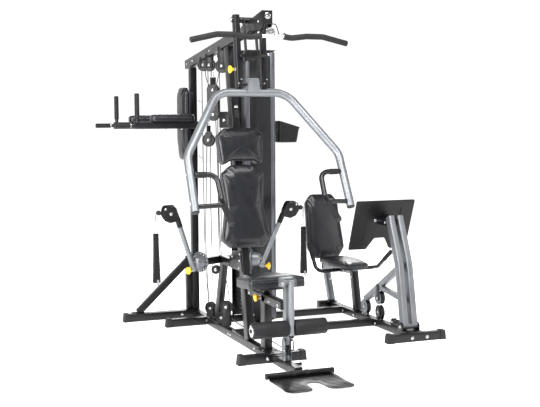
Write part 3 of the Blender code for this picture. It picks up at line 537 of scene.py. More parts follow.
# ---------------------------------------------------------------- base
def make_base():
    for node, axis in (("main_beam", "Y"), ("rear_cross_beam", "X"), ("front_cross_beam", "X"),
                       ("rear_upright", "Z"), ("front_stabilizer", "X"), ("rear_stabilizer", "X"),
                       ("mid_stabilizer", "X"), ("right_stabilizer", "X")):
        square_tube(node, axis).made(f"{node}_tube", "frame", replaces=[node])
    low, high = cad_box("front_extension")
    Shape().bar((0, high.y, 0.028), (0, low.y, 0.028)).made("front_extension_tube", "frame",
                                                            replaces=["front_extension"])
    stop = Shape().rod((0.020, -1.78, 0.028), (0.084, -1.78, 0.028), 0.0085)
    stop.made("foot_plate_stop_pin", "frame")
    caps = Shape().rod((0.082, -1.78, 0.028), (0.0905, -1.78, 0.028), 0.0105)
    for node, ends in (("front_stabilizer", (-1, 1)), ("right_stabilizer", (-1, 1)),
                       ("rear_stabilizer", (-1,)), ("mid_stabilizer", (-1,))):
        low, high = cad_box(node)
        for side in ends:
            x = high.x if side > 0 else low.x
            outline = [(x - side * 0.040, 0.0), (x + side * 0.008, 0.0), (x + side * 0.001, high.z + 0.005),
                       (x - side * 0.030, high.z + 0.005)]
            caps.plate(outline, high.y - low.y + 0.010, (0, (low.y + high.y) / 2, 0), IN_XZ, 0.003, 3)
    for y, x in ((0.061, 0.0), (-0.018, PRESS_X)):
        caps.block((x - 0.024, y - 0.003, 0.005), (x + 0.024, y + 0.002, 0.051), 0.002)
    caps.made("beam_end_caps", "rubber")
    plates = Shape()
    for y in (-0.305, -0.825):
        plates.plate(flat(corners(0.028, 0.003, 0.105, 0.053), 0.006), 0.004,
                     (0, y - 0.0275, 0), IN_XZ)
        plates.plate(flat(corners(y - 0.055, 0.005, y + 0.055, 0.051), 0.006),
                     0.004, (PRESS_X - 0.0273, 0, 0), IN_YZ)
    plates.plate(flat(corners(-0.055, -1.615, 0.055, -1.515), 0.008), 0.004,
                 (0, 0, 0.0585))
    plates.plate(flat([(-0.048, -1.585), (-0.028, -1.655), (0.028, -1.655), (0.048, -1.585)], 0.006), 0.004,
                 (0, 0, 0.0545))
    plates.plate(flat(corners(PRESS_X - 0.06, -1.414, PRESS_X + 0.06, -1.335), 0.008), 0.004, (0, 0, 0.0585))
    plates.made("beam_joint_plates", "frame")
    low, high = cad_box("leg_press_beam")
    beam = Shape().bar((PRESS_X, high.y, 0.028), (PRESS_X, low.y, 0.028))
    beam.block((PRESS_X - 0.064, LEG_PIVOT.y - 0.032, 0.0535), (PRESS_X + 0.064, LEG_PIVOT.y + 0.035, 0.0585))
    ear = flat([(LEG_PIVOT.y - 0.032, 0.054), (LEG_PIVOT.y - 0.032, 0.092), (LEG_PIVOT.y - 0.016, 0.109),
                (LEG_PIVOT.y + 0.018, 0.109), (LEG_PIVOT.y + 0.035, 0.092), (LEG_PIVOT.y + 0.035, 0.054)],
               0.010)
    for side in (-1, 1):
        beam.plate(ear, 0.008, (PRESS_X + side * 0.060, 0, 0), IN_YZ)
    beam.made("leg_press_beam_tube", "frame", replaces=["leg_press_beam"])
    bolts = Shape()
    bolts.bolts([(-0.025, y, 0.028) for y in (-0.285, -0.325, -0.805, -0.845, -1.30, -0.02)], (-1, 0, 0))
    bolts.bolts([(PRESS_X - 0.029, y, 0.026) for y in (-0.26, -0.345, -0.530, -0.785, -0.870)], (-1, 0, 0))
    bolts.bolts([(x, -1.590, 0.030) for x in (-0.045, 0.045)], (0, -1, 0), 0.008)
    bolts.bolts([(PRESS_X + x, -1.410, 0.027) for x in (-0.034, 0.075)], (0, -1, 0), 0.008)
    bolts.bolts([(-0.12, -0.030, 0.030)], (0, -1, 0), 0.007)
    for side in (-1, 1):
        bolts.bolt((PRESS_X + side * 0.064, *LEG_PIVOT.yz), (side, 0, 0), 0.009)
    bolts.made("base_bolts", "zinc")


# ---------------------------------------------------------------- tower
def upright_front(z):
    return UPRIGHT_FRONT_Y + LEAN * z


def make_tower():
    run = math.cos(math.atan(LEAN))
    section = rounded_rectangle(TUBE, UPRIGHT_DEPTH * run, 0.005)
    path = [(0, upright_front(z) + UPRIGHT_DEPTH / 2, z) for z in (0.054, 1.921)]
    Shape().sweep(path, section).made("main_upright_tube", "frame", replaces=["main_upright"])
    restyle("top_beam", "frame", edge=0.0018)
    brace = Shape().sweep([(-0.437, 0.025, 0.057), (-0.056, 0.025, 0.420)],
                          rounded_rectangle(0.045, 0.047, 0.004))
    brace.block((-0.0715, 0.002, 0.0563), (-0.0255, 0.048, 0.455), 0.003)
    brace.plate(flat(corners(-0.485, 0.0563, -0.395, 0.0605), 0.001), 0.048,
                (0, 0.025, 0), IN_XZ)
    brace.made("knee_station_brace", "frame", replaces=["knee_station_post"])
    hooks = Shape()
    for z in (1.592, 1.183):
        hooks.pipe(rounded([(0.0255, 0.025, z + 0.006), (0.046, 0.022, z + 0.006), (0.050, 0.020, z - 0.010),
                            (0.066, 0.018, z - 0.010), (0.070, 0.017, z + 0.012)], 0.006, 4), 0.0022, 10)
    hooks.pipe(smooth_path([(-0.300, 0.010, 0.352), (-0.250, 0.008, 0.362), (-0.200, 0.012, 0.356),
                            (-0.150, 0.020, 0.340)], 6), 0.0028, 10)
    hooks.made("accessory_hooks", "zinc")
    bolts = Shape()
    bolts.bolts([(-0.0250, -0.057, 1.878), (-0.0250, 0.083, 1.863), (-0.025, -0.461, 1.922)], (-1, 0, 0),
                0.0065)
    bolts.bolts([(-0.0280, -1.434, 2.025)], (-1, 0, 0), 0.0075)
    bolts.bolts([(-0.0255, -1.110, 2.025)], (-1, 0, 0), 0.0060)
    bolts.bolts([(0.0280, -1.434, 2.025)], (1, 0, 0), 0.0075)
    bolts.bolts([(0.025, -0.057, 1.878), (0.025, -0.62, 1.945)], (1, 0, 0))
    bolts.bolt((0.008, upright_front(1.531) - 0.0005, 1.531), (0, -1, -LEAN), 0.0085)
    bolts.made("tower_bolts", "zinc")
    ring = Shape().turned([(0.0060, 0), (0.0185, 0), (0.0185, 0.0018), (0.0165, 0.0030), (0.0060, 0.0030)],
                          (0, -1.508, 2.052), (0, -1, 0), 36)
    ring.turned([(0, 0.0005), (0.0075, 0.0005), (0.0075, 0.0050), (0.0055, 0.0068), (0, 0.0072)],
                (0, -1.508, 2.052), (0, -1, 0), 20)
    ring.made("nose_axle_washer", "chrome")
    slot = Shape().plate(flat(corners(-0.014, -0.028, 0.014, 0.028), 0.0135, 8), 0.012,
                         (0.008, upright_front(1.484) - 0.0045, 1.484),
                         Matrix.Rotation(-math.atan(LEAN), 3, "X") @ IN_XZ, 0.003)
    slot.made("press_stop_bumper", "rubber")


# ---------------------------------------------------------------- cable arm carrier and its cable arms
def make_carrier():
    rear = ARM_DISC - ARM_AXIS * (ARM_DISC.x / ARM_AXIS.x)
    carrier = Shape()
    for side in (-1, 1):
        carrier.bar(rear + mirrored(ARM_AXIS, side) * 0.004, mirrored(ARM_DISC - ARM_AXIS * 0.0085, side))
    start = upright_front(ARM_DISC.z) + UPRIGHT_DEPTH + 0.001
    carrier.bar((0, start, ARM_DISC.z), (0, rear.y, ARM_DISC.z), 0.045, 0.055)
    carrier.sweep([(0, -0.510, 0.0535), (0, -0.655, 0.490)], rounded_rectangle(0.040, 0.066, 0.004))
    cheek = flat([(upright_front(0.480) + 0.008, 0.480), (-0.88, 0.480), (-0.84, 0.530), (-0.92, 0.600),
                  (upright_front(0.610) + 0.008, 0.610)], 0.010)
    for side in (-1, 1):
        carrier.plate(cheek, 0.005, (side * 0.0276, 0, 0), IN_YZ)
    carrier.plate(flat(corners(-0.575, 0.054, -0.455, 0.060), 0.001), 0.050,
                  (0, 0, 0), IN_YZ)
    carrier.made("arm_carrier_weldment", "frame", replaces=["arm_carrier"])
    bolts = Shape()
    for side in (-1, 1):
        bolts.bolts([(side * 0.0301, y, z) for y, z in ((-1.060, 0.592), (-1.055, 0.548), (-1.045, 0.500),
                                                        (-0.912, 0.560))], (side, 0, 0), 0.0065)
    bolts.made("arm_carrier_bolts", "zinc")
    for name, side in SIDES:
        restyle(f"locking_disc_{name}", "silver", edge=0.0008)
        axis, centre = mirrored(ARM_AXIS, side), mirrored(ARM_DISC, side)
        # Black dots at the hole places are painted shade: they stand in for the dark insides of the disc's holes.
        holes = Shape()
        for step in range(16):
            angle = 2 * math.pi * step / 16
            spoke = (axis.cross(UP) * math.cos(angle) + UP * math.sin(angle)) * 0.0605
            holes.turned(corners(0, -0.001, 0.0052, 0.0004), centre + spoke, axis, 16)
        holes.made(f"locking_disc_{name}_holes", "black")


def make_cable_arms():
    for name, side in SIDES:
        axis, centre = mirrored(ARM_AXIS, side), mirrored(ARM_DISC, side)
        reach = UP * math.cos(ARM_TILT) + axis * math.sin(ARM_TILT)
        foot = centre + axis * 0.062 - UP * 0.042
        tip = foot + reach * ARM_LENGTH
        body = f"cable_arm_{name}"
        arm = Shape().turned([(0, 0.0004), (0.050, 0.0004), (0.052, 0.004), (0.050, 0.012), (0.046, 0.030),
                              (0.041, 0.048), (0.036, 0.056), (0.026, 0.060), (0, 0.061)], centre, axis, 48)
        arm.rod(foot, tip - reach * 0.010, 0.0160, 36)
        arm.turned([(0.0, -0.006), (0.017, -0.006), (0.021, 0.0), (0.021, 0.030), (0.017, 0.036), (0, 0.036)],
                   foot - reach * 0.004, reach, 32)
        arm.made(f"cable_arm_{name}_casting", "silver", body, [f"arm_tube_{name}"])
        sleeve = Shape().turned([(0.0162, 0.318), (0.0182, 0.320), (0.0182, 0.383), (0.0165, 0.3850),
                                 (0.0162, 0.3850)],
                                foot, reach, 32)
        sleeve.made(f"cable_arm_{name}_sleeve", "black", body)
        hub = Shape().bolt(centre + axis * 0.0605, axis, 0.010)
        for step in range(3):
            angle = step * THIRD_OF_A_TURN + 0.5
            across = (axis.cross(UP) * math.cos(angle) + UP * math.sin(angle)) * 0.026
            hub.bolt(centre + axis * 0.0588 + across, axis, 0.0042)
        hub.made(f"cable_arm_{name}_bolts", "zinc", body)
        pull_knob(f"arm_knob_{name}", foot + axis * 0.0185 - UP * 0.004, axis, f"arm_pin_{name}", body)

        head = f"cable_head_{name}"
        across = Vector((side, 0, 0))
        facing = across.cross(reach).normalized() * side
        upward = facing.cross(across).normalized() * side
        turn = Matrix((across, upward, across.cross(upward))).transposed()
        middle = tip + reach * 0.030 + across * 0.036 + upward * 0.005
        outline = flat([(0.060, -0.012), (0.054, 0.030), (0.045, 0.047), (-0.020, 0.050), (-0.034, 0.036),
                        (-0.052, -0.014), (-0.040, -0.052), (0.004, -0.062), (0.040, -0.046)], 0.012, 4)
        cheeks = Shape()
        for offset in (-0.0195, 0.0195):
            cheeks.plate(outline, 0.0045, middle + turn.col[2] * offset, turn, 0.0014)
        for face in (-1, 1):
            for step in range(11):
                angle = 2 * math.pi * step / 11 + 0.2
                spoke = across * math.cos(angle) + upward * math.sin(angle)
                start = middle + turn.col[2] * face * 0.0222 + spoke * 0.013
                cheeks.sweep([start, start + spoke * 0.022], rounded_rectangle(0.0042, 0.0030, 0.001, 2),
                             ends=0.001, level=turn.col[2])
            cheeks.turned(corners(0.0375, 0.0205, 0.0400, 0.0232),
                          middle, turn.col[2] * face, 40)
        cheeks.turned([(0.0, 0.0003), (0.0160, 0.0003), (0.0165, 0.004), (0.0165, 0.026), (0.0120, 0.032),
                       (0, 0.032)],
                      tip, reach, 28)
        cheeks.rod(middle + across * 0.030 + upward * 0.004, middle + across * 0.072 + upward * 0.004, 0.0080,
                   20)
        cheeks.made(f"cable_head_{name}_housing", "black", head, [f"arm_head_{name}"])
        wheel = Shape().turned([(0.005, -0.0145), (0.033, -0.0145), (0.034, -0.0135), (0.0285, -0.004),
                                (0.0285, 0.004), (0.034, 0.0135), (0.033, 0.0145), (0.005, 0.0145)], middle,
                               turn.col[2], 40)
        wheel.made(f"cable_head_{name}_wheel", "black", head)
        stop = Shape().turned([(0.0032, 0.066), (0.010, 0.066), (0.0155, 0.071), (0.0165, 0.080),
                               (0.0140, 0.089), (0.0080, 0.094), (0.0032, 0.094)], middle + upward * 0.004,
                              across, 28)
        stop.made(f"cable_stop_ball_{name}", "rubber", head)
        studs = Shape()
        for face in (-1, 1):
            studs.bolt(middle + turn.col[2] * face * 0.0218, turn.col[2] * face, 0.0072)
            studs.bolt(middle + across * 0.038 + upward * 0.033 + turn.col[2] * face * 0.0218,
                       turn.col[2] * face, 0.0048)
        studs.made(f"cable_head_{name}_bolts", "zinc", head)
        make_strap(name, middle + across * 0.099 + upward * 0.004)


def make_strap(name, top):
    """A snap hook, a ring and a doubled webbing cuff that hang from the cable's end."""
    body = f"strap_{name}"
    hook = Shape().pipe(rounded([top + Vector((0, -0.008, 0.006)), top + Vector((0, 0.008, 0.006)),
                                 top + Vector((0, 0.010, -0.058)), top + Vector((0, -0.010, -0.058))], 0.007,
                                4, True),
                        0.0024, 12, True)
    hook.rod(top + Vector((0, 0, -0.058)), top + Vector((0, 0, -0.074)), 0.0042, 14)
    hook.turned([(0, -0.078), (0.0060, -0.077), (0.0068, -0.073), (0, -0.072)], top, UP, 18)
    hook.pipe([top + Vector((0, 0, -0.074)), top + Vector((0, 0, -0.112))], 0.0022, 12)
    low = top.z - 0.135
    ring = [(top.x - 0.019, top.y, low + 0.004), (top.x + 0.019, top.y, low + 0.004),
            (top.x + 0.008, top.y, low + 0.024), (top.x - 0.008, top.y, low + 0.024)]
    hook.pipe(rounded(ring, 0.005, 4, True), 0.0024, 12, True)
    hook.made(f"strap_{name}_snap_hook", "chrome", body)
    band = Shape()
    length = 0.318
    for depth in (-1, 1):
        taper = [(-0.0165, 0.003), (-0.0235, -length + 0.010), (-0.0210, -length), (0.0250, -length),
                 (0.0265, -length + 0.010), (0.0165, 0.003)]
        turn = Matrix.Rotation(depth * 0.008, 3, "X") @ IN_XZ
        band.plate(flat(taper, 0.003, 3), 0.0028, (top.x, top.y + depth * 0.0030, low), turn, 0.0008)
    for drop, reach in ((0.006, 0.0185), (0.030, 0.0190)):
        band.block((top.x - reach, top.y - 0.0075, low - drop - 0.006),
                   (top.x + reach, top.y + 0.0075, low - drop), 0.0012)
    band.made(f"strap_{name}_webbing", "webbing", body, [f"strap_handle_{name}"])
    tail = Shape().plate(flat([(-0.007, -length - 0.016), (0.005, -length - 0.016), (0.007, -length + 0.02),
                               (-0.007, -length + 0.02)], 0.003, 3), 0.0024,
                         (top.x + 0.008, top.y - 0.0085, low), IN_XZ, 0.0007)
    tail.made(f"strap_{name}_tail", "grey", body)
    stitches = Shape()
    for edge in (-1, 1):
        for step in range(42):
            z = low - 0.044 - step * 0.0060
            x = top.x + edge * (0.0140 + 0.0065 * (low - z) / length)
            y = top.y - 0.0044 - 0.008 * (low - z)
            stitches.rod((x, y, z), (x, y, z - 0.0036), 0.00045, 6, 0.0002)
    stitches.made(f"strap_{name}_stitches", "grey", body)


def pull_knob(node, at, axis, body, holder):
    """A spring pull pin: a fluted yellow knob on its stem, and the threaded housing that it slides in."""
    profile = [(0, 0.044), (0.011, 0.0435), (0.017, 0.0415), (0.0215, 0.0385), (0.0235, 0.034),
               (0.0225, 0.0295), (0.018, 0.0245), (0.0125, 0.021), (0.0110, 0.0185), (0.0110, 0.0125),
               (0, 0.0125)]
    knob = Shape().turned(profile, at, axis, 40)
    turn = axes_along(axis)
    for step in range(10):
        angle = 2 * math.pi * step / 10
        spoke = turn @ Vector((math.cos(angle), math.sin(angle), 0))
        place = Vector(at) + Vector(axis).normalized() * 0.034 + spoke * 0.0212
        knob.sweep([place - Vector(axis) * 0.006, place + Vector(axis) * 0.005], circle(0.0034, 10),
                   ends=0.0016)
    knob.made(f"{node}_grip", "yellow", body, [node])
    Shape().rod(Vector(at) + Vector(axis) * 0.001, Vector(at) + Vector(axis) * 0.014, 0.0056, 18).made(
        f"{node}_pin", "zinc", body)
    Shape().sweep([Vector(at) - Vector(axis) * 0.004, Vector(at) + Vector(axis) * 0.0015], circle(0.012, 6),
                  ends=0.0008).made(f"{node}_housing", "zinc", holder)


# ---------------------------------------------------------------- weight stack and its shroud
def make_weights():
    def plate(shape, low, high):
        shape.block((STACK.x - 0.0895, STACK.y - 0.1245, low + 0.0004),
                    (STACK.x + 0.0895, STACK.y + 0.1245, high - 0.0004), 0.0022)

    resting, lifted = Shape(), Shape()
    for number in range(10):
        plate(resting, 0.085 + number * 0.030, 0.115 + number * 0.030)
    for number in range(5):
        plate(lifted, 0.3853 + number * 0.030, 0.4153 + number * 0.030)
    lifted.block((STACK.x - 0.080, STACK.y - 0.115, 0.5353), (STACK.x + 0.080, STACK.y + 0.115, 0.5703),
                 0.005)
    resting.made("resting_weight_plates", "iron", replaces=["resting_weights"])
    lifted.made("lifted_weight_plates", "iron", "weights", ["lifted_weights"])
    Shape().rod((STACK.x, STACK.y, 0.095), (STACK.x, STACK.y, 0.590), 0.0095).made("selector_stem", "chrome",
                                                                                   "weights")
    collars = Shape()
    for offset in (-0.09, 0.09):
        collars.turned(corners(0.0138, 0.5703, 0.020, 0.5770),
                       (STACK.x, STACK.y + offset, 0), UP, 28)
    collars.made("stack_bushings", "black", "weights")
    holes = Shape()
    for number in range(10):
        z = 0.100 + number * 0.030
        holes.turned(corners(0.0042, -0.0003, 0.0072, 0.0012),
                     (STACK.x - 0.0895, STACK.y, z), (-1, 0, 0), 20)
    holes.made("plate_pin_holes", "zinc")
    low, high = cad_box("guide_frame")
    rods = Shape()
    for offset in (-0.09, 0.09):
        rods.rod((STACK.x, STACK.y + offset, 0.030), (STACK.x, STACK.y + offset, 1.895), 0.0125, 36)
    rods.made("guide_rods", "chrome", replaces=["guide_frame"])
    head = Shape().bar((STACK.x, -0.3305, 0.028), (STACK.x, -0.7995, 0.028))
    head.block((0.0253, STACK.y - 0.02, 1.875), (STACK.x + 0.03, STACK.y + 0.02, high.z), 0.003)
    head.block((STACK.x - 0.02, STACK.y - 0.11, 1.880), (STACK.x + 0.02, STACK.y + 0.11, 1.905), 0.003)
    head.made("guide_rod_holders", "frame")
    buffers = Shape()
    for offset in (-0.09, 0.09):
        buffers.turned([(0.0127, 0.044), (0.024, 0.044), (0.024, 0.056), (0.021, 0.062), (0.024, 0.070),
                        (0.021, 0.078), (0.022, 0.0846), (0.0127, 0.0846)], (STACK.x, STACK.y + offset, 0),
                       UP, 28)
    buffers.made("stack_buffers", "rubber")


def make_shroud():
    low, high = cad_box("weight_shroud")
    front, back = low.y, high.y
    left, right = STACK.x - 0.119, STACK.x + 0.119
    restyle("weight_shroud", "panel", edge=0.0010)
    trims = Shape()
    for x0, x1 in ((left + 0.026, left + 0.052), (right - 0.036, right - 0.010)):
        trims.block((x0, front - 0.0035, low.z + 0.02), (x1, front + 0.002, high.z - 0.012), 0.0012)
    for y in (front + 0.012, back - 0.030):
        trims.block((right - 0.002, y, low.z + 0.02), (right + 0.0035, y + 0.024, high.z - 0.012), 0.0012)
    trims.made("shroud_corner_trims", "trim")
    inset = Shape()
    inset.block((left + 0.054, front - 0.0012, 0.30), (left + 0.116, front + 0.001, high.z - 0.10), 0.0006)
    inset.made("shroud_inset_panel", "black")
    cap = Shape().block((left + 0.028, front - 0.004, high.z - 0.002),
                        (right + 0.003, back + 0.003, high.z + 0.003), 0.0012)
    cap.made("shroud_top_cap", "panel")
    bolts = Shape()
    for x in (left + 0.065, right - 0.047):
        for z in (high.z - 0.028, low.z + 0.045):
            bolts.bolt((x, front - 0.0005, z), (0, -1, 0), 0.006)
    for z in (high.z - 0.05, 1.0, low.z + 0.06):
        bolts.bolt((right + 0.0005, (front + back) / 2, z), (1, 0, 0), 0.006)
    bolts.made("shroud_bolts", "zinc")
    low, high = cad_box("bottle_holder")
    left, middle = low.x + 0.030, (low.y + high.y) / 2

    def level(reach, half, left_z, right_z, inset):
        corner = corners(left + inset, middle - half + inset, reach - inset, middle + half - inset)
        return [(x, y, left_z + (right_z - left_z) * (x - left) / (reach - left)) for x, y in flat(corner,
                                                                                                   0.020 - inset, 6)]

    rings = [level(high.x - 0.022, 0.047, 1.2905, 1.2905, 0.006),
             level(high.x - 0.018, 0.050, 1.2950, 1.2950, 0.0),
             level(high.x - 0.009, 0.0525, 1.360, 1.345, 0.0),
             level(high.x - 0.001, 0.055, 1.4385, 1.3935, 0.0),
             level(high.x - 0.001, 0.055, 1.4400, 1.3950, 0.0012),
             level(high.x - 0.001, 0.055, 1.4385, 1.3935, 0.0034),
             level(high.x - 0.018, 0.050, 1.2990, 1.2990, 0.0040)]
    cup = Shape().skin(rings)
    cup.block((low.x, middle - 0.035, 1.365), (left + 0.002, middle + 0.035, 1.438), 0.002)
    cup.made("bottle_holder_cup", "black", replaces=["bottle_holder"])
    band = Shape().skin([level(high.x + grow, 0.0555 + grow / 2, left_z, right_z,
                               inset) for grow, left_z, right_z, inset in (
        (0.0, 1.4310, 1.3860, 0.0), (0.0022, 1.4325, 1.3875, 0.0), (0.0022, 1.4395, 1.3945, 0.0),
        (0.0, 1.4410, 1.3960, 0.0), (0.0, 1.4410, 1.3960, 0.0030), (0.0, 1.4310, 1.3860, 0.0030))], loop=True)
    band.made("bottle_holder_rim", "black")
    Shape().bolts([(low.x + 0.0325, (low.y + high.y) / 2 + y, 1.415) for y in (-0.022, 0.022)], (1, 0, 0),
                  0.0055).made(
        "bottle_holder_bolts", "zinc")


# ---------------------------------------------------------------- pads
def cad_outline(node, facing):
    """The outline of a CAD pad's face that looks along facing, with its normal and the pad's thickness."""
    facing = Vector(facing).normalized()
    bm = bmesh.new()
    bm.from_mesh(frame["nodes"][node].data)
    bmesh.ops.remove_doubles(bm, verts=bm.verts, dist=0.00002)
    bmesh.ops.recalc_face_normals(bm, faces=bm.faces)
    bmesh.ops.dissolve_limit(bm, angle_limit=math.radians(0.6), verts=bm.verts, edges=bm.edges)
    face = max((f for f in bm.faces if f.normal.dot(facing) > 0.8), key=lambda f: f.calc_area())
    normal = face.normal.copy()
    outline = [vert.co + CENTRE for vert in face.verts]
    heights = [(vert.co + CENTRE - outline[0]).dot(normal) for vert in bm.verts]
    bm.free()
    return outline, normal, -min(heights)


def resampled(outline, spacing):
    """The same closed outline with points at an even spacing."""
    total = sum((b - a).length for a, b in zip(outline, outline[1:] + outline[:1]))
    count = max(24, round(total / spacing))
    lengths, points = [], []
    for a, b in zip(outline, outline[1:] + outline[:1]):
        lengths.append((a, b, (b - a).length))
    step, walked, index = total / count, 0.0, 0
    for number in range(count):
        target = number * step
        while walked + lengths[index][2] < target:
            walked += lengths[index][2]
            index += 1
        a, b, length = lengths[index]
        points.append(a.lerp(b, (target - walked) / length))
    return points


def make_pad(node, facing, body="frame", crown=0.007, edge=0.016, puff=0.007):
    """A foam pad under stretched vinyl: a lofted form with its front and sides blown up by cloth simulation."""
    outline, normal, thickness = cad_outline(node, facing)
    outline = resampled(outline, 0.011)
    count = len(outline)
    centre = sum(outline, Vector()) / count
    inward = []
    for index, point in enumerate(outline):
        tangent = outline[(index + 1) % count] - outline[index - 1]
        side = normal.cross(tangent).normalized()
        inward.append(side if side.dot(centre - point) > 0 else -side)
    face = thickness - crown
    edge = min(edge, face * 0.6)

    def ring(inset, height, shrink=1.0):
        row = []
        for point, side in zip(outline, inward):
            place = point + side * inset
            row.append(centre + (place - centre) * shrink + normal * (height - thickness))
        return row

    rows = [ring(0.012, 0.0), ring(0.005, 0.0005), ring(0.002, 0.004)]
    rows += [ring(0.0015, height) for height in (0.25 * face, 0.5 * face)]
    seam_row = len(rows)
    rows.append(ring(0.0035, face - edge))
    for step in range(1, 6):
        angle = math.radians(90) * step / 5
        rows.append(ring(0.0015 + edge * (1 - math.cos(angle)), face - edge + edge * math.sin(angle)))
    for shrink in (0.93, 0.86, 0.77, 0.67, 0.56, 0.44, 0.31, 0.17):
        rows.append(ring(0.0015 + edge, face + crown * 0.55 * (1 - shrink ** 2), shrink))
    bm = bmesh.new()
    verts = [[bm.verts.new(place) for place in row] for row in rows]
    for first, second in zip(verts, verts[1:]):
        for index in range(count):
            after = (index + 1) % count
            bm.faces.new((first[index], first[after], second[after], second[index]))
    tip = bm.verts.new(centre + normal * (face + crown * 0.55 - thickness))
    for index in range(count):
        bm.faces.new((verts[-1][index], verts[-1][(index + 1) % count], tip))
    bm.faces.new(reversed(verts[0]))
    bmesh.ops.recalc_face_normals(bm, faces=bm.faces)
    mesh = bpy.data.meshes.new(f"{node}_cover")
    bm.to_mesh(mesh)
    bm.free()
    cover = bpy.data.objects.new(f"{node}_cover", mesh)
    bpy.context.scene.collection.objects.link(cover)
    held = cover.vertex_groups.new(name="held")
    held.add(list(range(3 * count)), 1.0, "REPLACE")
    held.add(list(range(seam_row * count, (seam_row + 1) * count)), 1.0, "REPLACE")
    inflate(cover, puff)
    co = [vert.co.copy() for vert in cover.data.vertices]
    seam = [co[seam_row * count + index] for index in range(count)]
    cover.location = -CENTRE
    cover.data.shade_smooth()
    cover.data.materials.append(LOOKS["leather"])
    smooth = cover.modifiers.new("smooth", "SUBSURF")
    smooth.levels = smooth.render_levels = 1
    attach(cover, body)
    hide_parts(node)
    out = [-side for side in inward]
    piping = Shape().pipe([point + side * 0.0006 for point, side in zip(seam, out)], 0.0017, 10, True)
    piping.made(f"{node}_piping", "leather", body)
    stitches = Shape()
    for index in range(count):
        for share in (0.0, 0.5):
            a = seam[index].lerp(seam[(index + 1) % count], share)
            b = seam[index].lerp(seam[(index + 1) % count], share + 0.32)
            shift = out[index] * 0.0024 - normal * 0.0055
            stitches.sweep([a + shift, b + shift], circle(0.00055, 6), ends=0.0002)
    stitches.made(f"{node}_stitches", "grey", body)
    board = Shape().plate([((p + s * 0.014 - centre).dot(across_of(normal)),
                            (p + s * 0.014 - centre).dot(upward_of(normal)))
                           for p, s in zip(outline[::2], inward[::2])], 0.004,
                          centre + normal * (0.0022 - thickness), plane_of(normal), 0.001)
    board.made(f"{node}_backing_board", "black", body)
    return cover


def across_of(normal):
    side = UP.cross(normal)
    return side.normalized() if side.length > 0.1 else Vector((1, 0, 0))


def upward_of(normal):
    return normal.cross(across_of(normal)).normalized()


def plane_of(normal):
    return Matrix((across_of(normal), upward_of(normal), normal)).transposed()


def inflate(cover, limit):
    """Blows the cover up as cloth from its held rings, with no point moving further than the limit."""
    rest = [vert.co.copy() for vert in cover.data.vertices]
    cloth = cover.modifiers.new("cloth", "CLOTH")
    settings = cloth.settings
    settings.quality = 5
    settings.mass = 0.3
    settings.tension_stiffness = settings.compression_stiffness = 25
    settings.shear_stiffness = 10
    settings.bending_stiffness = 1.5
    settings.use_pressure = True
    settings.uniform_pressure_force = 4
    settings.effector_weights.gravity = 0
    settings.vertex_group_mass = "held"
    scene = bpy.context.scene
    scene.frame_start, scene.frame_end = 1, 20
    for step in range(1, 21):
        scene.frame_set(step)
    graph = bpy.context.evaluated_depsgraph_get()
    moved = [vert.co.copy() for vert in cover.evaluated_get(graph).data.vertices]
    cover.modifiers.remove(cloth)
    for vert, before, after in zip(cover.data.vertices, rest, moved):
        shift = after - before
        vert.co = before + (shift if shift.length < limit else shift.normalized() * limit)
    scene.frame_set(1)


def make_pads():
    tilt = Vector((0, -1, LEAN))
    make_pad("head_pad", tilt, crown=0.012, edge=0.020)
    make_pad("back_pad", tilt, crown=0.013, edge=0.022)
    make_pad("seat_pad", (0, 0, 1), "seat", crown=0.010, edge=0.018)
    make_pad("knee_station_back_pad", (-1, 0, 0), crown=0.007, edge=0.014)
    for side in ("near", "far"):
        make_pad(f"elbow_pad_{side}", (0, 0, 1), crown=0.008, edge=0.016)
    make_pad("leg_press_back_pad", (0, -1, 0.26), crown=0.011, edge=0.020)
    make_pad("leg_press_seat", (0, 0, 1), crown=0.006, edge=0.014)


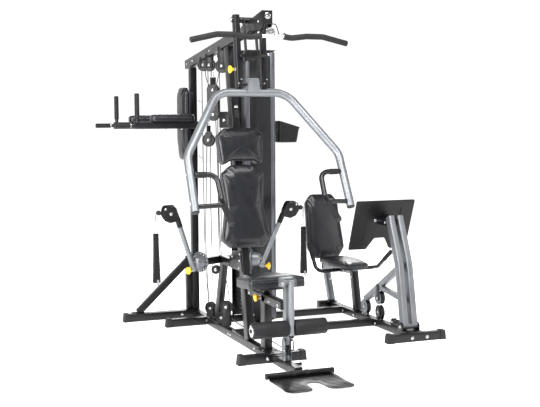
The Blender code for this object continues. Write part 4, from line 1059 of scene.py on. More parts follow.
# ---------------------------------------------------------------- press arm
def make_press_arm():
    body, (_, y, z) = "press_arm", PRESS_PIVOT
    hangers = Shape()
    for side in (-1, 1):
        hangers.bar((side * 0.086, y + 0.003, z + 0.030), (side * 0.083, -1.228, 1.640), 0.035, 0.050, 0.008)
        hangers.bar((side * 0.0375, y, z + 0.010), (side * 0.0375, -1.240, 1.83), 0.005, 0.040, 0.001)
    hangers.rod((-0.118, y, z), (0.118, y, z), 0.0150)
    hangers.rod((-0.070, y, z), (0.070, y, z), 0.0180)
    hangers.block((-0.050, -1.270, 1.804), (0.040, -1.215, 1.868), 0.003)
    hangers.block((-0.024, -1.275, 1.7003), (0.024, -1.230, 1.81), 0.003)
    hangers.rod((-0.083, -1.243, 1.836), (0.083, -1.243, 1.836), 0.011)
    hangers.rod((-0.083, -1.232, 1.662), (0.083, -1.240, 1.662), 0.011)
    hangers.made("press_hanger_weldment", "frame", body, ["press_hangers"])
    caps = Shape()
    for side in (-1, 1):
        caps.block((side * 0.086 - 0.0165, y - 0.021, z + 0.0295),
                   (side * 0.086 + 0.0165, y + 0.027, z + 0.0325), 0.001)
    caps.made("press_hanger_caps", "black", body)
    bolts = Shape()
    for side in (-1, 1):
        bolts.bolt((side * 0.1175, y, z), (side, 0, 0), 0.010)
        bolts.bolts([(side * 0.083 + offset, -1.2545, height) for offset, height in ((-0.008, 1.668),
                                                                                     (0.008, 1.692))],
                    (0, -1, 0), 0.0034)
    bolts.made("press_hanger_bolts", "zinc", body)

    half = [(0.489, -1.615, 0.918), (0.484, -1.450, 1.235), (0.225, -1.228, 1.612)]
    corners = [mirrored(place, -1) for place in half] + [Vector(place) for place in reversed(half)]
    path = rounded(corners, 0.14, 14)
    arch = Shape().pipe(path, 0.025, 44)
    arch.plate(flat([(-0.042, 1.612), (0.042, 1.612), (0.031, 1.699), (-0.031, 1.699)], 0.004), 0.044,
               (0, -1.252, 0), IN_XZ, 0.002)
    arch.made("press_arch_tube", "silver", body, ["press_arch"])
    plugs = Shape()
    for side in (-1, 1):
        end = mirrored(half[0], side)
        way = (end - mirrored(half[1], side)).normalized()
        plugs.turned([(0, -0.002), (0.0235, -0.002), (0.0248, 0.001), (0.022, 0.0045), (0, 0.006)], end, way,
                     36)
    plugs.made("press_arch_plugs", "black", body)
    studs = Shape()
    for side in (-1, 1):
        studs.bolt((side * 0.5105, -1.590, 0.965), (side, 0, 0), 0.0075)
        studs.bolt((side * 0.5075, -1.505, 1.128), (side, 0, 0), 0.0075)
    studs.made("press_arch_bolts", "zinc", body)
    for name, side in SIDES:
        grip = [(0.4603, -1.514, 1.127), (0.330, -1.520, 1.127), (0.325, -1.600, 0.980),
                (0.329, -1.786, 0.860)]
        loop = rounded([mirrored(place, side) for place in grip], 0.055, 10)
        holder = Shape().pipe(loop, 0.0160, 28)
        holder.pipe([mirrored((0.328, -1.635, 0.957), side), mirrored((0.4640, -1.602, 0.950), side)], 0.0142,
                    28)
        holder.made(f"press_handle_{name}", "frame", body, [f"press_grip_{name}"])
        lower, upper = Vector(loop[-1]), Vector(loop[-2])
        way = (lower - upper).normalized()
        start = mirrored((0.3262, -1.648, 0.9492), side)
        foam = Shape().pipe([start, lower - way * 0.001], 0.0186, 28, ends=0.003)
        foam.pipe([mirrored((0.445, -1.5147, 1.127), side), mirrored((0.392, -1.5172, 1.127), side)], 0.0180,
                  28, ends=0.003)
        foam.made(f"press_foam_{name}", "foam", body)
        tip = Shape().turned([(0, 0), (0.0150, 0), (0.0165, 0.002), (0.0150, 0.0055), (0.008, 0.0075),
                              (0, 0.008)],
                             lower - way * 0.001, way, 28)
        tip.made(f"press_handle_{name}_cap", "rubber", body)
    pull_knob("press_knob", (-0.1040, -1.22, 1.753), (-1, 0, 0), "press_pin", body)


# ---------------------------------------------------------------- lat station
def make_lat_station():
    body, y, z = "lat_handle", LAT_BAR.y, LAT_BAR.z
    Shape().rod((-0.105, y, z - 0.001), (0.105, y, z - 0.001), 0.0125, 36).made("lat_bar_shaft", "chrome",
                                                                                body, ["lat_bar"])
    half = [(0.085, y, z - 0.003), (0.130, y, z - 0.010), (0.225, y, z + 0.002), (0.330, y, z + 0.002),
            (0.487, y, z - 0.034)]
    grips, ends = Shape(), Shape()
    for side in (-1, 1):
        path = rounded([mirrored(place, side) for place in half], 0.12, 8)
        path[0].x *= 0.75 if side < 0 else 1
        grips.pipe(path, 0.0172, 32, ends=0.003)
        way = (Vector(path[-1]) - Vector(path[-2])).normalized()
        ends.turned([(0, -0.001), (0.0160, -0.001), (0.0168, 0.0015), (0.0130, 0.0050), (0, 0.006)],
                    path[-1] - way * 0.001, way, 28)
        ends.turned([(0.0126, -0.003), (0.0195, -0.003), (0.0205, 0.0), (0.0195, 0.004), (0.0126, 0.004)],
                    (path[0].x, y, z - 0.0015), (1, 0, 0), 32)
    grips.made("lat_bar_foam_grips", "foam", body)
    ends.made("lat_bar_caps_and_collars", "rubber", body)
    half_moon = [(0.030 * math.cos(math.radians(a)),
                  0.034 * math.sin(math.radians(a)) + 0.008) for a in range(0, 181, 12)]
    bracket = Shape().plate(half_moon, 0.004, (0, y + 0.004, z + 0.006), IN_XZ, 0.001)
    bracket.plate(flat([(y - 0.010, z + 0.004), (LAT_PULLEY.y - 0.037, z + 0.012),
                        (LAT_PULLEY.y - 0.037, z + 0.026), (y - 0.010, z + 0.026)], 0.004), 0.006, (0, 0, 0),
                  IN_YZ)
    bracket.made("lat_bar_bracket", "zinc", body)
    bail = [(-0.050, y, z + 0.010), (-0.042, y + 0.004, z + 0.045), (-0.034, y + 0.010, z + 0.070),
            (0.034, y + 0.010, z + 0.070), (0.042, y + 0.004, z + 0.045), (0.050, y, z + 0.010)]
    Shape().pipe(rounded(bail, 0.012, 6), 0.0028, 14).made("lat_bar_bail", "black", body)
    wheel_profile = [(0.005, 0.0105), (0.014, 0.0105), (0.016, 0.0085), (0.030, 0.0085), (0.0315, 0.0108),
                     (0.037, 0.0105), (0.038, 0.0090), (0.0330, 0.003), (0.0330, -0.003), (0.038, -0.0090),
                     (0.037, -0.0105), (0.0315, -0.0108), (0.030, -0.0085), (0.016, -0.0085),
                     (0.014, -0.0105), (0.005, -0.0105)]
    Shape().turned(wheel_profile, LAT_PULLEY, (1, 0, 0), 48).made("lat_pulley_wheel", "black", "lat_wheel",
                                                                  ["lat_pulley"])
    drop = LAT_PULLEY.y - LAT_CABLE_REACH
    cord = Shape().sweep([(0, drop, z + 0.0263 + (1.997 - z - 0.0263) * step / 12) for step in range(13)],
                         circle(CABLE_RADIUS, 14), ends=0.0)
    piece = cord.made("lat_cable", "cable", "frame", ["lat_drop_cable"])
    stretch(piece)
    Shape().turned([(0, 0.0264), (0.0052, 0.0264), (0.0052, 0.040), (0.0036, 0.046), (0, 0.046)],
                   (0, drop, z), UP, 20).made("lat_cable_ferrule", "zinc", body)


def stretch(piece):
    """Takes a straight cable, which runs between the frame and a body that slides along it, off its body and bakes
    its placement into its mesh.
    """
    world = piece.matrix_world.copy()
    piece.parent = None
    piece.matrix_world = world
    del piece["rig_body"]
    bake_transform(piece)


# ---------------------------------------------------------------- seat, leg lever and rowing foot plate
def make_seat():
    y = -1.449
    post = Shape().sweep([(0, y, 0.0535), (0, y, 0.395)], rounded_rectangle(0.050, 0.075, 0.005))
    post.sweep([(0, -1.7448, 0.370), (0, y + 0.02, 0.370)], rounded_rectangle(0.050, 0.050, 0.005))
    post.sweep([(0, y, 0.370), (0, -1.186, 0.370)], rounded_rectangle(0.048, 0.040, 0.004))
    post.block((-0.055, y - 0.055, 0.0532), (0.055, y + 0.055, 0.0572), 0.001)
    post.made("seat_post_weldment", "frame", replaces=["seat_post"])
    collar = Shape().block((-0.0275, y - 0.040, 0.380), (0.0275, y + 0.040, 0.3975), 0.002)
    collar.made("seat_post_collar", "black")
    restyle("seat_carriage", "frame", "seat")
    bolts = Shape()
    for side in (-1, 1):
        bolts.bolts([(side * 0.0254, place, 0.368) for place in (-1.225, -1.56, -1.70)], (side, 0, 0), 0.007)
        bolts.bolts([(side * 0.040, y + place, 0.0572) for place in (-0.044, 0.044)], (0, 0, 1), 0.006, True)
    bolts.made("seat_post_bolts", "zinc")
    pull_knob("seat_knob", (-0.0253, -1.42, 0.370), (-1, 0, 0), "seat_pin", "frame")


def make_leg_lever():
    post = Shape().block((-0.0115, -1.7953, 0.0533), (0.0115, -1.7453, 0.500), 0.003)
    post.block((-0.0385, -1.7953, 0.487), (0.0385, -1.7453, 0.537), 0.004)
    ear = flat([(-1.838, 0.492), (-1.790, 0.488), (-1.790, 0.537), (-1.838, 0.533)], 0.010)
    for x in (-0.0355, 0.0355):
        post.plate(ear, 0.004, (x, 0, 0), IN_YZ)
    post.made("lever_post_tube", "silver", replaces=["lever_post"])
    bracket = Shape()
    cheek = flat([(-1.800, 0.0533), (-1.7453, 0.0533), (-1.7453, 0.172), (-1.760, 0.186), (-1.790, 0.186),
                  (-1.800, 0.165)],
                 0.008)
    for x in (-0.0178, 0.0178):
        bracket.plate(cheek, 0.004, (x, 0, 0), IN_YZ)
    bracket.made("low_pulley_bracket", "silver")
    wheel(Shape(), (0, -1.790, 0.118), 0.032, 0.010).made("low_pulley", "black")
    studs = Shape()
    for side in (-1, 1):
        studs.bolt((side * 0.0200, -1.790, 0.118), (side, 0, 0), 0.007)
        studs.bolt((side * 0.0376, LEVER_PIVOT.y, LEVER_PIVOT.z), (side, 0, 0), 0.0075)
    studs.made("lever_post_bolts", "zinc")
    lever = Shape().rod((0, LEVER_Y, 0.206), (0, LEVER_Y, 0.524), 0.0165, 36)
    lever.turned([(0, 0.520), (0.0165, 0.520), (0.0155, 0.5265), (0.010, 0.5295), (0, 0.5300)],
                 (0, LEVER_Y, 0), UP, 36)
    lever.rod((-0.032, LEVER_PIVOT.y, LEVER_PIVOT.z), (0.032, LEVER_PIVOT.y, LEVER_PIVOT.z), 0.0145)
    lever.block((-0.013, LEVER_Y, 0.502), (0.013, LEVER_PIVOT.y, 0.524), 0.002)
    lever.made("leg_lever_tube", "silver", "lever", ["leg_lever"])
    axle = Shape().rod((-0.238, ROLLER.y, ROLLER.z), (0.226, ROLLER.y, ROLLER.z), 0.0108, 32)
    axle.made("roller_axle", "chrome", "lever")
    foot = Shape().turned([(0, -0.0002), (0.0160, -0.0002), (0.0166, 0.003), (0.0166, 0.012), (0, 0.012)],
                          (0, LEVER_Y, 0.2040), UP, 28)
    foot.pipe(rounded([(0, LEVER_Y - 0.008, 0.207), (0, LEVER_Y - 0.008, 0.186), (0, LEVER_Y + 0.010, 0.186),
                       (0, LEVER_Y + 0.010, 0.207)], 0.008, 5), 0.003, 12)
    foot.made("lever_end_eye", "black", "lever")
    clip = Shape()
    y, top, bottom = LEVER_Y + 0.001, 0.189, 0.128
    clip.pipe(rounded([(-0.010, y, top), (0.010, y, top), (0.012, y, bottom), (-0.012, y, bottom)], 0.009, 5,
                      True),
              0.0034, 14, True)
    clip.made("lever_carabiner", "black", "lever")
    for name, side, outer in (("left", -1, 0.236), ("right", 1, 0.224)):
        inner = 0.0185
        radius = 0.047
        foam = Shape().turned([(0.0115, inner), (radius - 0.009, inner), (radius - 0.003, inner + 0.0025),
                               (radius, inner + 0.009), (radius, outer - 0.011),
                               (radius - 0.003, outer - 0.0045), (radius - 0.009, outer - 0.002),
                               (0.0115, outer - 0.002)], ROLLER,
                              (side, 0, 0), 56)
        foam.made(f"foam_roller_{name}_sleeve", "foam", f"roller_{name}", [f"foam_roller_{name}"])
        disc = Shape().turned([(0.0112, outer - 0.002), (0.034, outer - 0.002), (0.034, outer + 0.0002),
                               (0.030, outer + 0.0022), (0.012, outer + 0.0022), (0.0112, outer + 0.001)],
                              ROLLER, (side, 0, 0), 48)
        disc.made(f"foam_roller_{name}_end_disc", "chrome", f"roller_{name}")
    ends = Shape()
    for side, outer in ((-1, 0.2384), (1, 0.2262)):
        ends.turned([(0, 0), (0.0125, 0), (0.0125, 0.003), (0.008, 0.006), (0, 0.0065)],
                    (side * outer, ROLLER.y, ROLLER.z), (side, 0, 0), 24)
    ends.made("roller_axle_caps", "black", "lever")


def make_row_plate():
    body = "rowing_foot_plate"
    lobe = [(0.040, -2.125), (0.046, -2.290), (0.205, -2.290), (0.196, -2.170), (0.200, PEDAL_AXIS.y)]
    outline = [(-x, y) for x, y in lobe] + [(x, y) for x, y in reversed(lobe)]
    plate = Shape().plate(flat(outline, 0.045, 8), 0.005, (0, 0, 0.0095), edge=0.0016)
    plate.pipe([(-0.202, *PEDAL_AXIS.yz), (0.202, *PEDAL_AXIS.yz)], 0.0175, 36, ends=0.0012)
    plate.made("row_foot_plate_steel", "frame", body, ["row_foot_plate"])
    treads = Shape()
    for side in (-1, 1):
        for number in range(9):
            y = -2.035 - number * 0.0275
            inner = 0.030 if y > -2.115 else 0.066
            treads.sweep([(side * inner, y, 0.0122), (side * 0.182, y, 0.0122)],
                         rounded_rectangle(0.0085, 0.0024, 0.0009, 2), ends=0.001)
    treads.made("row_foot_plate_treads", "rubber", body)
    ends = Shape()
    for side in (-1, 1):
        ends.turned([(0, 0), (0.0178, 0), (0.0184, 0.002), (0.0165, 0.005), (0, 0.006)],
                    (side * 0.2015, *PEDAL_AXIS.yz), (side, 0, 0), 32)
        ends.turned(corners(0.0178, -0.001, 0.0196, 0.022),
                    (side * 0.030, *PEDAL_AXIS.yz), (side, 0, 0), 32)
    ends.made("row_foot_plate_caps", "rubber", body)


# ---------------------------------------------------------------- knee-raise station
GRIP_CAP = [(0, 0), (0.0155, 0), (0.0165, 0.0015), (0.0140, 0.005),
            (0, 0.006)]   # half section (radius, height) of a grip's end cap


def make_knee_station():
    work = Shape()
    work.sweep([(-0.0407, -0.320, DIP_Z), (-0.0407, 0.370, DIP_Z)], rounded_rectangle(0.030, 0.050, 0.004))
    grips, rings, caps, plates = Shape(), Shape(), Shape(), Shape()
    for y in (-0.295, 0.345):
        work.bar((-0.515, y, DIP_Z), (-0.030, y, DIP_Z))
        work.rod((-0.497, y, DIP_Z), (-0.497, y, 1.500), 0.0125)
        work.rod((-0.505, y, DIP_Z), (-0.545, y, DIP_Z), 0.0125)
        grips.rod((-0.497, y, 1.462), (-0.497, y, 1.630), 0.0165, 32, 0.003)
        grips.rod((-0.545, y, DIP_Z), (-0.650, y, DIP_Z), 0.0165, 32, 0.003)
        rings.turned(corners(0.0126, 0, 0.0168, 0.004), (-0.541, y, DIP_Z), (-1, 0, 0), 28)
        caps.turned(GRIP_CAP, (-0.6495, y, DIP_Z), (-1, 0, 0), 28)
        caps.turned(GRIP_CAP, (-0.497, y, 1.6295), UP, 28)
        caps.block((-0.5170, y - 0.0235, DIP_Z - 0.0235), (-0.5145, y + 0.0235, DIP_Z + 0.0235), 0.001)
        plates.block((-0.36, y - 0.030, DIP_Z + 0.0235), (-0.13, y + 0.030, DIP_Z + 0.0253), 0.0008)
    work.made("knee_station_weldment", "frame", replaces=["knee_station_frame"])
    grips.made("knee_station_grips", "foam")
    rings.made("knee_station_grip_rings", "chrome")
    caps.made("knee_station_caps", "rubber")
    plates.plate(flat(corners(-0.085, 1.200, 0.135, 1.655), 0.020), 0.003,
                 (-0.0270, 0, 0), IN_YZ)
    plates.made("knee_station_pad_plates", "frame")
    bolts = Shape()
    for y in (-0.295, 0.345):
        bolts.bolts([(-0.30, y, DIP_Z - 0.025), (-0.18, y, DIP_Z - 0.025)], (0, 0, -1), 0.007)
    bolts.bolts([(-0.0405, y, DIP_Z) for y in (-0.3205,)], (0, -1, 0), 0.007)
    bolts.made("knee_station_bolts", "zinc")


# ---------------------------------------------------------------- leg press station
def make_leg_press():
    x = PRESS_X
    front = Shape().sweep([(x, -0.535, 0.060), (x, -0.472, 0.352)], rounded_rectangle(0.050, 0.050))
    front.sweep([(x, 0.035, 0.290), (x, 0.150, 0.715)], rounded_rectangle(0.045, 0.030, 0.003))
    for y in (-0.533, -0.078):
        front.block((x - 0.040, y - 0.045, 0.0533), (x + 0.040, y + 0.045, 0.0585), 0.0012)
    front.block((x - 0.110, -0.095, 0.004), (x - 0.0253, -0.045, 0.062), 0.003)
    front.block((x - 0.090, -0.250, 0.352), (x + 0.090, -0.170, 0.3665), 0.001)
    front.block((x - 0.090, -0.500, 0.352), (x + 0.090, -0.420, 0.3665), 0.001)
    front.made("leg_press_front_frame", "frame", replaces=["leg_press_frame"])
    rear = Shape().sweep([(x, -0.083, 0.057), (x, 0.030, 0.325)], rounded_rectangle(0.045, 0.050, 0.004))
    rear.sweep([(x, 0.058, 0.306), (x, -0.500, 0.341)], rounded_rectangle(0.044, 0.040, 0.004))
    rear.made("leg_press_seat_rail", "silver")
    rail_z = 0.330
    handle = rounded([(x - 0.235, -0.190, 0.520), (x - 0.235, -0.335, rail_z), (x + 0.235, -0.300, rail_z),
                      (x + 0.235, -0.400, rail_z + 0.020), (x + 0.235, -0.610, 0.485)], 0.05, 10)
    Shape().pipe(handle, 0.0140, 28).made("leg_press_handle_bar", "frame")
    foams, tips = Shape(), Shape()
    for end, inner in ((handle[0], handle[1]), (handle[-1], handle[-2])):
        way = (end - inner).normalized()
        foams.pipe([end - way * 0.130, end - way * 0.002], 0.0160, 28, ends=0.003)
        tips.turned([(0, 0), (0.0150, 0), (0.0160, 0.0015), (0.0140, 0.005), (0, 0.006)], end - way * 0.003,
                    way, 28)
    foams.made("leg_press_handle_foam", "foam")
    tips.made("leg_press_handle_caps", "rubber")
    bolts = Shape()
    bolts.bolts([(x - 0.0225, -0.162, 0.320), (x - 0.0225, -0.343, 0.331), (x - 0.0225, -0.427, 0.336)],
                (-1, 0, 0), 0.007)
    bolts.bolts([(x - 0.0255, -0.483, 0.300)], (-1, 0, 0), 0.007)
    bolts.bolts([(x, -0.0525, 0.226)], (0, -1, 0), 0.0075)
    bolts.made("leg_press_frame_bolts", "zinc")
    make_leg_press_arm()
    wheels = Shape()
    wheel(wheels, (x, -0.890, 0.106), 0.050, 0.0125)
    wheel(wheels, (x, -1.095, 0.078), 0.023, 0.0110)
    wheel(wheels, (x, -1.234, 0.078), 0.023, 0.0110)
    wheels.made("leg_press_fixed_pulleys", "black")
    covers, studs = Shape(), Shape()
    for side in (-1, 1):
        covers.plate(flat([(-0.915, 0.054), (-0.865, 0.054), (-0.862, 0.110), (-0.875, 0.140),
                           (-0.905, 0.140), (-0.918, 0.110)], 0.012), 0.003, (x + side * 0.0150, 0, 0), IN_YZ)
        covers.plate(flat([(-0.695, 0.054), (-0.651, 0.054), (-0.655, 0.120), (-0.691, 0.120)], 0.010), 0.003,
                     (x + side * 0.0150, 0, 0), IN_YZ)
        covers.plate(flat([(-1.255, 0.054), (-1.065, 0.054), (-1.075, 0.092), (-1.245, 0.092)], 0.010), 0.003,
                     (x + side * 0.0135, 0, 0), IN_YZ)
        studs.bolts([(x + side * 0.0165, -0.890, 0.106)], (side, 0, 0), 0.0075)
        studs.bolts([(x + side * 0.0150, -1.095, 0.076), (x + side * 0.0150, -1.234, 0.076)], (side, 0, 0),
                    0.006)
    covers.made("leg_press_pulley_brackets", "frame")
    studs.made("leg_press_pulley_bolts", "zinc")
    grey = Shape()
    wheel(grey, (x, -0.673, 0.112), 0.052, 0.0125)
    grey.made("leg_press_rear_pulley", "black")
    cheek = [(0.050 * math.cos(math.radians(a)) - 0.673, 0.050 * math.sin(math.radians(a)) + 0.112)
             for a in range(0, 360, 15)]
    cover = Shape()
    for side in (-1, 1):
        cover.plate(cheek, 0.003, (x + side * 0.0155, 0, 0), IN_YZ)
    cover.made("leg_press_rear_pulley_cheeks", "silver")
    rear_bolts = Shape()
    for side in (-1, 1):
        rear_bolts.bolt((x + side * 0.017, -0.673, 0.112), (side, 0, 0), 0.0075)
    rear_bolts.made("leg_press_rear_pulley_bolts", "zinc")


def make_leg_press_arm():
    x, body = PRESS_X, "leg_press"
    knee, top = (-1.228, 0.480), (-1.095, 0.790)
    section = flat(corners(-0.033, -0.0215, 0.033, 0.0215), 0.013, 5)
    arms = Shape()
    path = rounded([(0, LEG_PIVOT.y, LEG_PIVOT.z), (0, *knee), (0, *top)], 0.30, 12)
    for offset in (-0.033, 0.033):
        arms.sweep([point + Vector((x + offset, 0, 0)) for point in path], section, ends=0.002,
                   level=Vector((1, 0, 0)))
    arms.rod((x - 0.0555, *LEG_PIVOT.yz), (x + 0.0555, *LEG_PIVOT.yz), 0.0210, 36)
    arms.bar((x, -1.20, 0.470), (x, -0.675, 0.165), 0.038, 0.040)
    arms.bar((x, -0.900, 0.285), (x, -1.250, 0.245), 0.036, 0.030, 0.003)
    arms.made("leg_press_arm_weldment", "silver", body, ["leg_press_arm"])
    fittings = Shape().block((x - 0.050, -1.108, 0.728), (x + 0.050, -0.9385, 0.772), 0.003)
    for side in (-1, 1):
        fittings.plate(flat([(-0.919, 0.186), (-0.859, 0.186), (-0.867, 0.304), (-0.911, 0.304)], 0.014),
                       0.003, (x + side * 0.0206, 0, 0), IN_YZ)
    fittings.made("leg_press_arm_brackets", "frame", body)
    pulleys = wheel(Shape(), (x, -0.889, 0.2075), 0.046, 0.0125)
    pulleys.made("leg_press_arm_pulley", "black", body)
    cover = Shape()
    for side in (-1, 1):
        cover.turned(corners(0, -0.0015, 0.045, 0.0015),
                     (x + side * 0.0165, -0.889, 0.2075), (side, 0, 0), 40)
    cover.made("leg_press_arm_pulley_cheeks", "silver", body)
    caps = Shape()
    for offset in (-0.033, 0.033):
        last, before = path[-1] + Vector((x + offset, 0, 0)), path[-2] + Vector((x + offset, 0, 0))
        way = (last - before).normalized()
        caps.sweep([last - way * 0.001, last + way * 0.003], [(a * 0.94, b * 0.94) for a, b in section],
                   ends=0.001, level=Vector((1, 0, 0)))
    caps.made("leg_press_arm_caps", "rubber", body)
    make_leg_press_foot_plate()
    bolts = Shape()
    for side in (-1, 1):
        bolts.bolt((x + side * 0.0225, -0.889, 0.204), (side, 0, 0), 0.0075)
        bolts.bolt((x + side * 0.0502, -1.060, 0.750), (side, 0, 0), 0.0075)
    bolts.made("leg_press_arm_bolts", "zinc", body)


def make_leg_press_foot_plate():
    """The leg press plate, with pressed grooves on the side that the feet push and stiffening ribs behind."""
    x, lean, body = PRESS_X, math.atan(0.40), "leg_press"
    scale = 1 / math.cos(lean)
    turn = Matrix.Rotation(lean, 3, "X") @ IN_XZ
    rear = -0.9385 + 0.40 * 0.750 + (0.007 + 0.0003) * scale + 0.008
    outline = [(-0.090, 0.548), (-0.040, 0.628), (0.040, 0.628), (0.090, 0.548), (0.222, 0.548),
               (0.222, 0.892), (-0.222, 0.892), (-0.222, 0.548)]
    outline = flat([(a, b * scale) for a, b in outline], 0.010, 4)
    plate = Shape().plate(outline, 0.013, (x, rear, 0), turn, 0.003, 3)
    outer = -turn.col[2] if turn.col[2].y > 0 else turn.col[2]
    for across in (-0.125, 0.125):
        for half in (-0.0035, 0.0035):
            start = Vector((x, rear, 0)) + turn @ Vector((across + half, 0.615 * scale, 0)) + outer * 0.0068
            end = Vector((x, rear, 0)) + turn @ Vector((across + half, 0.845 * scale, 0)) + outer * 0.0068
            plate.sweep([start, end], rounded_rectangle(0.0030, 0.0030, 0.001, 2), ends=0.001, level=outer)
    for number in range(7):
        height = (0.655 + number * 0.034) * scale
        start = Vector((x, rear, 0)) + turn @ Vector((-0.195, height, 0)) - outer * 0.0066
        end = Vector((x, rear, 0)) + turn @ Vector((0.195, height, 0)) - outer * 0.0066
        plate.sweep([start, end], rounded_rectangle(0.0100, 0.0030, 0.001, 2), ends=0.002, level=outer)
    plate.made("leg_press_foot_board", "black", body, ["leg_press_foot_plate"])
    studs = Shape()
    for across in (-0.058, -0.011, 0.057, 0.030):
        place = Vector((x, rear, 0)) + turn @ Vector((across, 0.757 * scale, 0)) + outer * 0.0066
        studs.bolt(place, outer, 0.0072)
    studs.made("leg_press_foot_board_bolts", "zinc", body)


# ---------------------------------------------------------------- pulleys and cables
def wheel(shape, at, radius, half_width, axis=(1, 0, 0)):
    """A grooved pulley wheel with a hub, a thin web and a rim."""
    rim, hub = radius * 0.80, radius * 0.38
    profile = [(0.0045, half_width), (hub, half_width), (hub * 1.1, half_width * 0.55),
               (rim, half_width * 0.55), (rim * 1.05, half_width * 0.95), (radius * 0.97, half_width),
               (radius, half_width * 0.85), (radius * 0.86, half_width * 0.25)]
    profile += [(r, -h) for r, h in reversed(profile)]
    return shape.turned(profile, at, axis, 44)


def pulley(wheels, plates, studs, at, radius, axis, cheek):
    """A wheel between two cheek plates, whose outline is given from the wheel's middle, and its axle bolt."""
    at, axis = Vector(at), Vector(axis).normalized()
    wheel(wheels, at, radius, 0.0105, axis)
    turn = Matrix((UP.cross(axis), UP, axis)).transposed()
    for side in (-1, 1):
        plates.plate(flat(cheek, 0.010, 5), 0.0035, at + axis * side * 0.0132, turn, 0.0010)
        studs.bolt(at + axis * side * 0.0150, axis * side, 0.0064)


def capsule(low, high, reach, steps=10):
    """An upright outline with round ends, whose end centres are at the heights low and high."""
    points = [(reach * math.cos(a),
               high + reach * math.sin(a)) for a in (math.pi * k / steps for k in range(steps + 1))]
    return points + [(reach * math.cos(a), low + reach * math.sin(a))
                     for a in (math.pi + math.pi * k / steps for k in range(steps + 1))]


def make_tower_pulleys():
    wheels, plates, studs = Shape(), Shape(), Shape()
    facing = Vector((-0.62, -0.78, 0))
    for y, z, radius in ((-0.246, 1.838, 0.044), (-0.384, 1.830, 0.044), (-0.657, 1.807, 0.046)):
        top = 1.868 - y * 0.108 - z
        pulley(wheels, plates, studs, (0, y, z), radius, facing,
               [(-0.024, -0.022), (0.024, -0.022), (0.026, top), (-0.026, top)])
    pulley(wheels, plates, studs, (0, -0.456, 1.655), 0.044, facing, capsule(-0.168, 0.0, 0.0405))
    wheel(wheels, (0, -0.461, 1.487), 0.044, 0.0105, facing)
    for side in (-1, 1):
        studs.bolt(Vector((0, -0.461, 1.487)) + facing.normalized() * side * 0.0150, facing * side, 0.0064)
    pulley(wheels, plates, studs, (0, -0.345, 1.310), 0.046, facing, capsule(0.0, 0.040, 0.022))
    plates.block((-0.017, -0.473, 1.690), (0.017, -0.439, 1.742), 0.003)
    plates.block((-0.012, -0.357, 1.352), (0.012, -0.333, 1.412), 0.003)
    for y, z, radius, axis in ((-0.351, 0.121, 0.046, (-0.80, -0.60, 0)),
                               (-0.696, 0.186, 0.044, (-0.62, -0.78, 0)),
                               (-0.600, 0.098, 0.042, (-0.80, -0.60, 0))):
        pulley(wheels, plates, studs, (0, y, z), radius, axis,
               [(-0.030, 0.056 - z), (0.030, 0.056 - z), (0.024, 0.020), (-0.024, 0.020)])
    pulley(wheels, plates, studs, (0, -0.700, 1.447), 0.038, (-0.80, -0.60, 0),
           corners(-0.034, -0.052, 0.044, 0.056))
    pulley(wheels, plates, studs, (-0.085, -0.735, 0.452), 0.030, (-0.5, -0.86, 0),
           corners(-0.020, -0.018, 0.020, 0.028))
    wheels.made("cable_pulleys", "black")
    plates.made("pulley_brackets", "black")
    studs.made("pulley_axle_bolts", "zinc")
    eyes = Shape().rod((0, -0.456, 1.741), (0, -0.456, 1.776), 0.0050, 16)
    eyes.rod((0, -0.345, 1.411), (0, -0.345, 1.440), 0.0050, 16)
    eyes.made("pulley_block_eyes", "zinc")


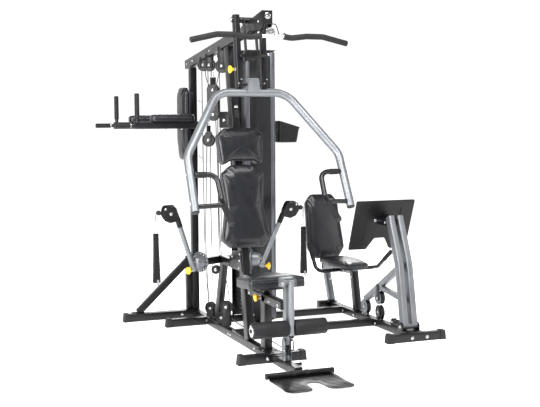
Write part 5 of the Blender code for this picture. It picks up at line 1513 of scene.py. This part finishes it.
def make_cables():
    over = [(0, LAT_PULLEY.y - LAT_CABLE_REACH * math.cos(math.radians(a)),
             LAT_PULLEY.z + LAT_CABLE_REACH * math.sin(math.radians(a)))
            for a in (-8, 20, 50, 85)]
    upper = over + [(0, -1.40, 2.037), (0, -1.10, 2.002), (0, -0.74, 1.955), (0, -0.665, 1.915),
                    (0, -0.605, 1.86), (0, -0.602, 1.80), (0, -0.602, 1.30), (0, -0.602, 0.62)]
    Shape().pipe(smooth_path(upper, 8), CABLE_RADIUS, 12).made("upper_cable_run", "cable",
                                                               replaces=["upper_cable"])
    lower = [(0.0, -1.7440, 0.122), (0, -1.66, 0.118), (0.036, -1.43, 0.100), (0.040, -1.28, 0.090),
             (0.040, -1.12, 0.088), (0.040, -0.75, 0.095), (0.058, -0.60, 0.105), (0.075, -0.53, 0.14),
             (0.082, -0.50, 0.25), (0.040, -0.46, 0.60), (0.032, -0.456, 1.20), (0.032, -0.456, 1.60)]
    Shape().pipe(smooth_path(lower, 8), CABLE_RADIUS, 12).made("lower_cable_run", "cable",
                                                               replaces=["lower_cable"])
    runs = Shape()
    for path in (
            [(0, -0.205, 1.838), (0, -0.204, 1.70), (0, -0.214, 0.90), (0, -0.236, 0.45), (0, -0.304, 0.125)],
            [(0, -0.288, 1.838), (0, -0.300, 1.75), (0, -0.412, 1.655)],
            [(0, -0.343, 1.828), (0, -0.345, 1.62), (0, -0.301, 1.318)],
            [(0, -0.427, 1.828), (0, -0.420, 1.76), (0, -0.4575, 1.745)],
            [(0, -0.610, 1.805), (0, -0.560, 1.72), (0, -0.498, 1.655)],
            [(0, -0.302, 1.305), (0, -0.268, 0.90), (0, -0.252, 0.60), (0, -0.305, 0.145)],
            [(0, -0.390, 1.305), (0, -0.370, 1.06), (0, -0.385, 0.60), (0, -0.400, 0.30), (0, -0.400, 0.130)],
            [(0, -0.505, 1.485), (0, -0.540, 1.10), (0, -0.552, 0.62), (0, -0.650, 0.195)],
            [(0, -0.417, 1.485), (0, -0.375, 1.452), (0, -0.345, 1.440)]):
        runs.pipe(smooth_path(path, 8), CABLE_RADIUS, 12)
    runs.pipe(smooth_path([(0, -0.351, 0.069), (0, -0.50, 0.064), (0, -0.600, 0.0555)], 6), CABLE_RADIUS, 12)
    runs.pipe(smooth_path([(PRESS_X, -0.673, 0.160), (PRESS_X, -0.76, 0.185), (PRESS_X, -0.845, 0.215)], 6),
              CABLE_RADIUS, 12)
    runs.made("tower_cable_runs", "cable")
    up = Shape().sweep([(STACK.x, STACK.y, 0.5906 + (1.8747 - 0.5906) * step / 24) for step in range(25)],
                       circle(CABLE_RADIUS, 14), ends=0.0)
    piece = up.made("stack_cable_run", "cable", "frame", ["stack_cable"])
    stretch(piece)


# ---------------------------------------------------------------- studio
def make_studio():
    """A white floor and backdrop, with the room in front of the machine left darker for contrast."""
    scene = bpy.context.scene
    scene.view_settings.view_transform = "Standard"
    bpy.ops.mesh.primitive_plane_add(size=60, location=(0, 0, -0.0004))
    floor = bpy.context.active_object
    floor.name = "studio_floor"
    paper = Paint("studio_paper", 0.85, Specular_IOR_Level=0.1, Emission_Color=(1, 1, 1, 1),
                  Emission_Strength=0.82)
    paper.colour(paper.colours(paper.noise(3), (0.90, 0.90, 0.90), (0.92, 0.92, 0.92)))
    floor.data.materials.append(paper.material)
    world = bpy.data.worlds.new("studio")
    world.use_nodes = True
    tree = world.node_tree
    place = tree.nodes.new("ShaderNodeTexCoord")
    towards = tree.nodes.new("ShaderNodeVectorMath")
    towards.operation = "DOT_PRODUCT"
    towards.inputs[1].default_value = (0.34, 0.94, 0.0)
    level = tree.nodes.new("ShaderNodeMapRange")
    for socket, value in (("From Min", 0.45), ("From Max", 0.88), ("To Min", 0.36), ("To Max", 1.05)):
        level.inputs[socket].default_value = value
    tree.links.new(place.outputs["Generated"], towards.inputs[0])
    tree.links.new(towards.outputs["Value"], level.inputs["Value"])
    tree.links.new(level.outputs["Result"], tree.nodes["Background"].inputs["Strength"])
    tree.nodes["Background"].inputs["Color"].default_value = (1, 1, 1, 1)
    scene.world = world
    for name, place, aim, width, height, power in (
            ("key", (-4.6, -2.4, 2.6), (0, -0.3, 0.9), 1.8, 3.4, 330),
            ("fill", (4.2, -3.6, 2.4), (0.3, -0.3, 0.9), 0.6, 3.0, 50),
            ("rear", (1.6, 4.6, 2.8), (0, 0, 0.9), 2.4, 2.4, 130),
            ("top", (-0.4, -2.6, 4.4), (0.1, -0.6, 0.6), 3.0, 1.2, 210)):
        light = bpy.data.lights.new(name, "AREA")
        light.shape = "RECTANGLE"
        light.size, light.size_y, light.energy = width, height, power
        lamp = bpy.data.objects.new(name, light)
        lamp.location = place
        lamp.rotation_euler = (Vector(aim) - Vector(place)).to_track_quat("-Z", "Y").to_euler()
        scene.collection.objects.link(lamp)


make_base()
make_tower()
make_carrier()
make_cable_arms()
make_weights()
make_shroud()
make_pads()
make_press_arm()
make_lat_station()
make_seat()
make_leg_lever()
make_row_plate()
make_knee_station()
make_leg_press()
make_tower_pulleys()
make_cables()
make_studio()
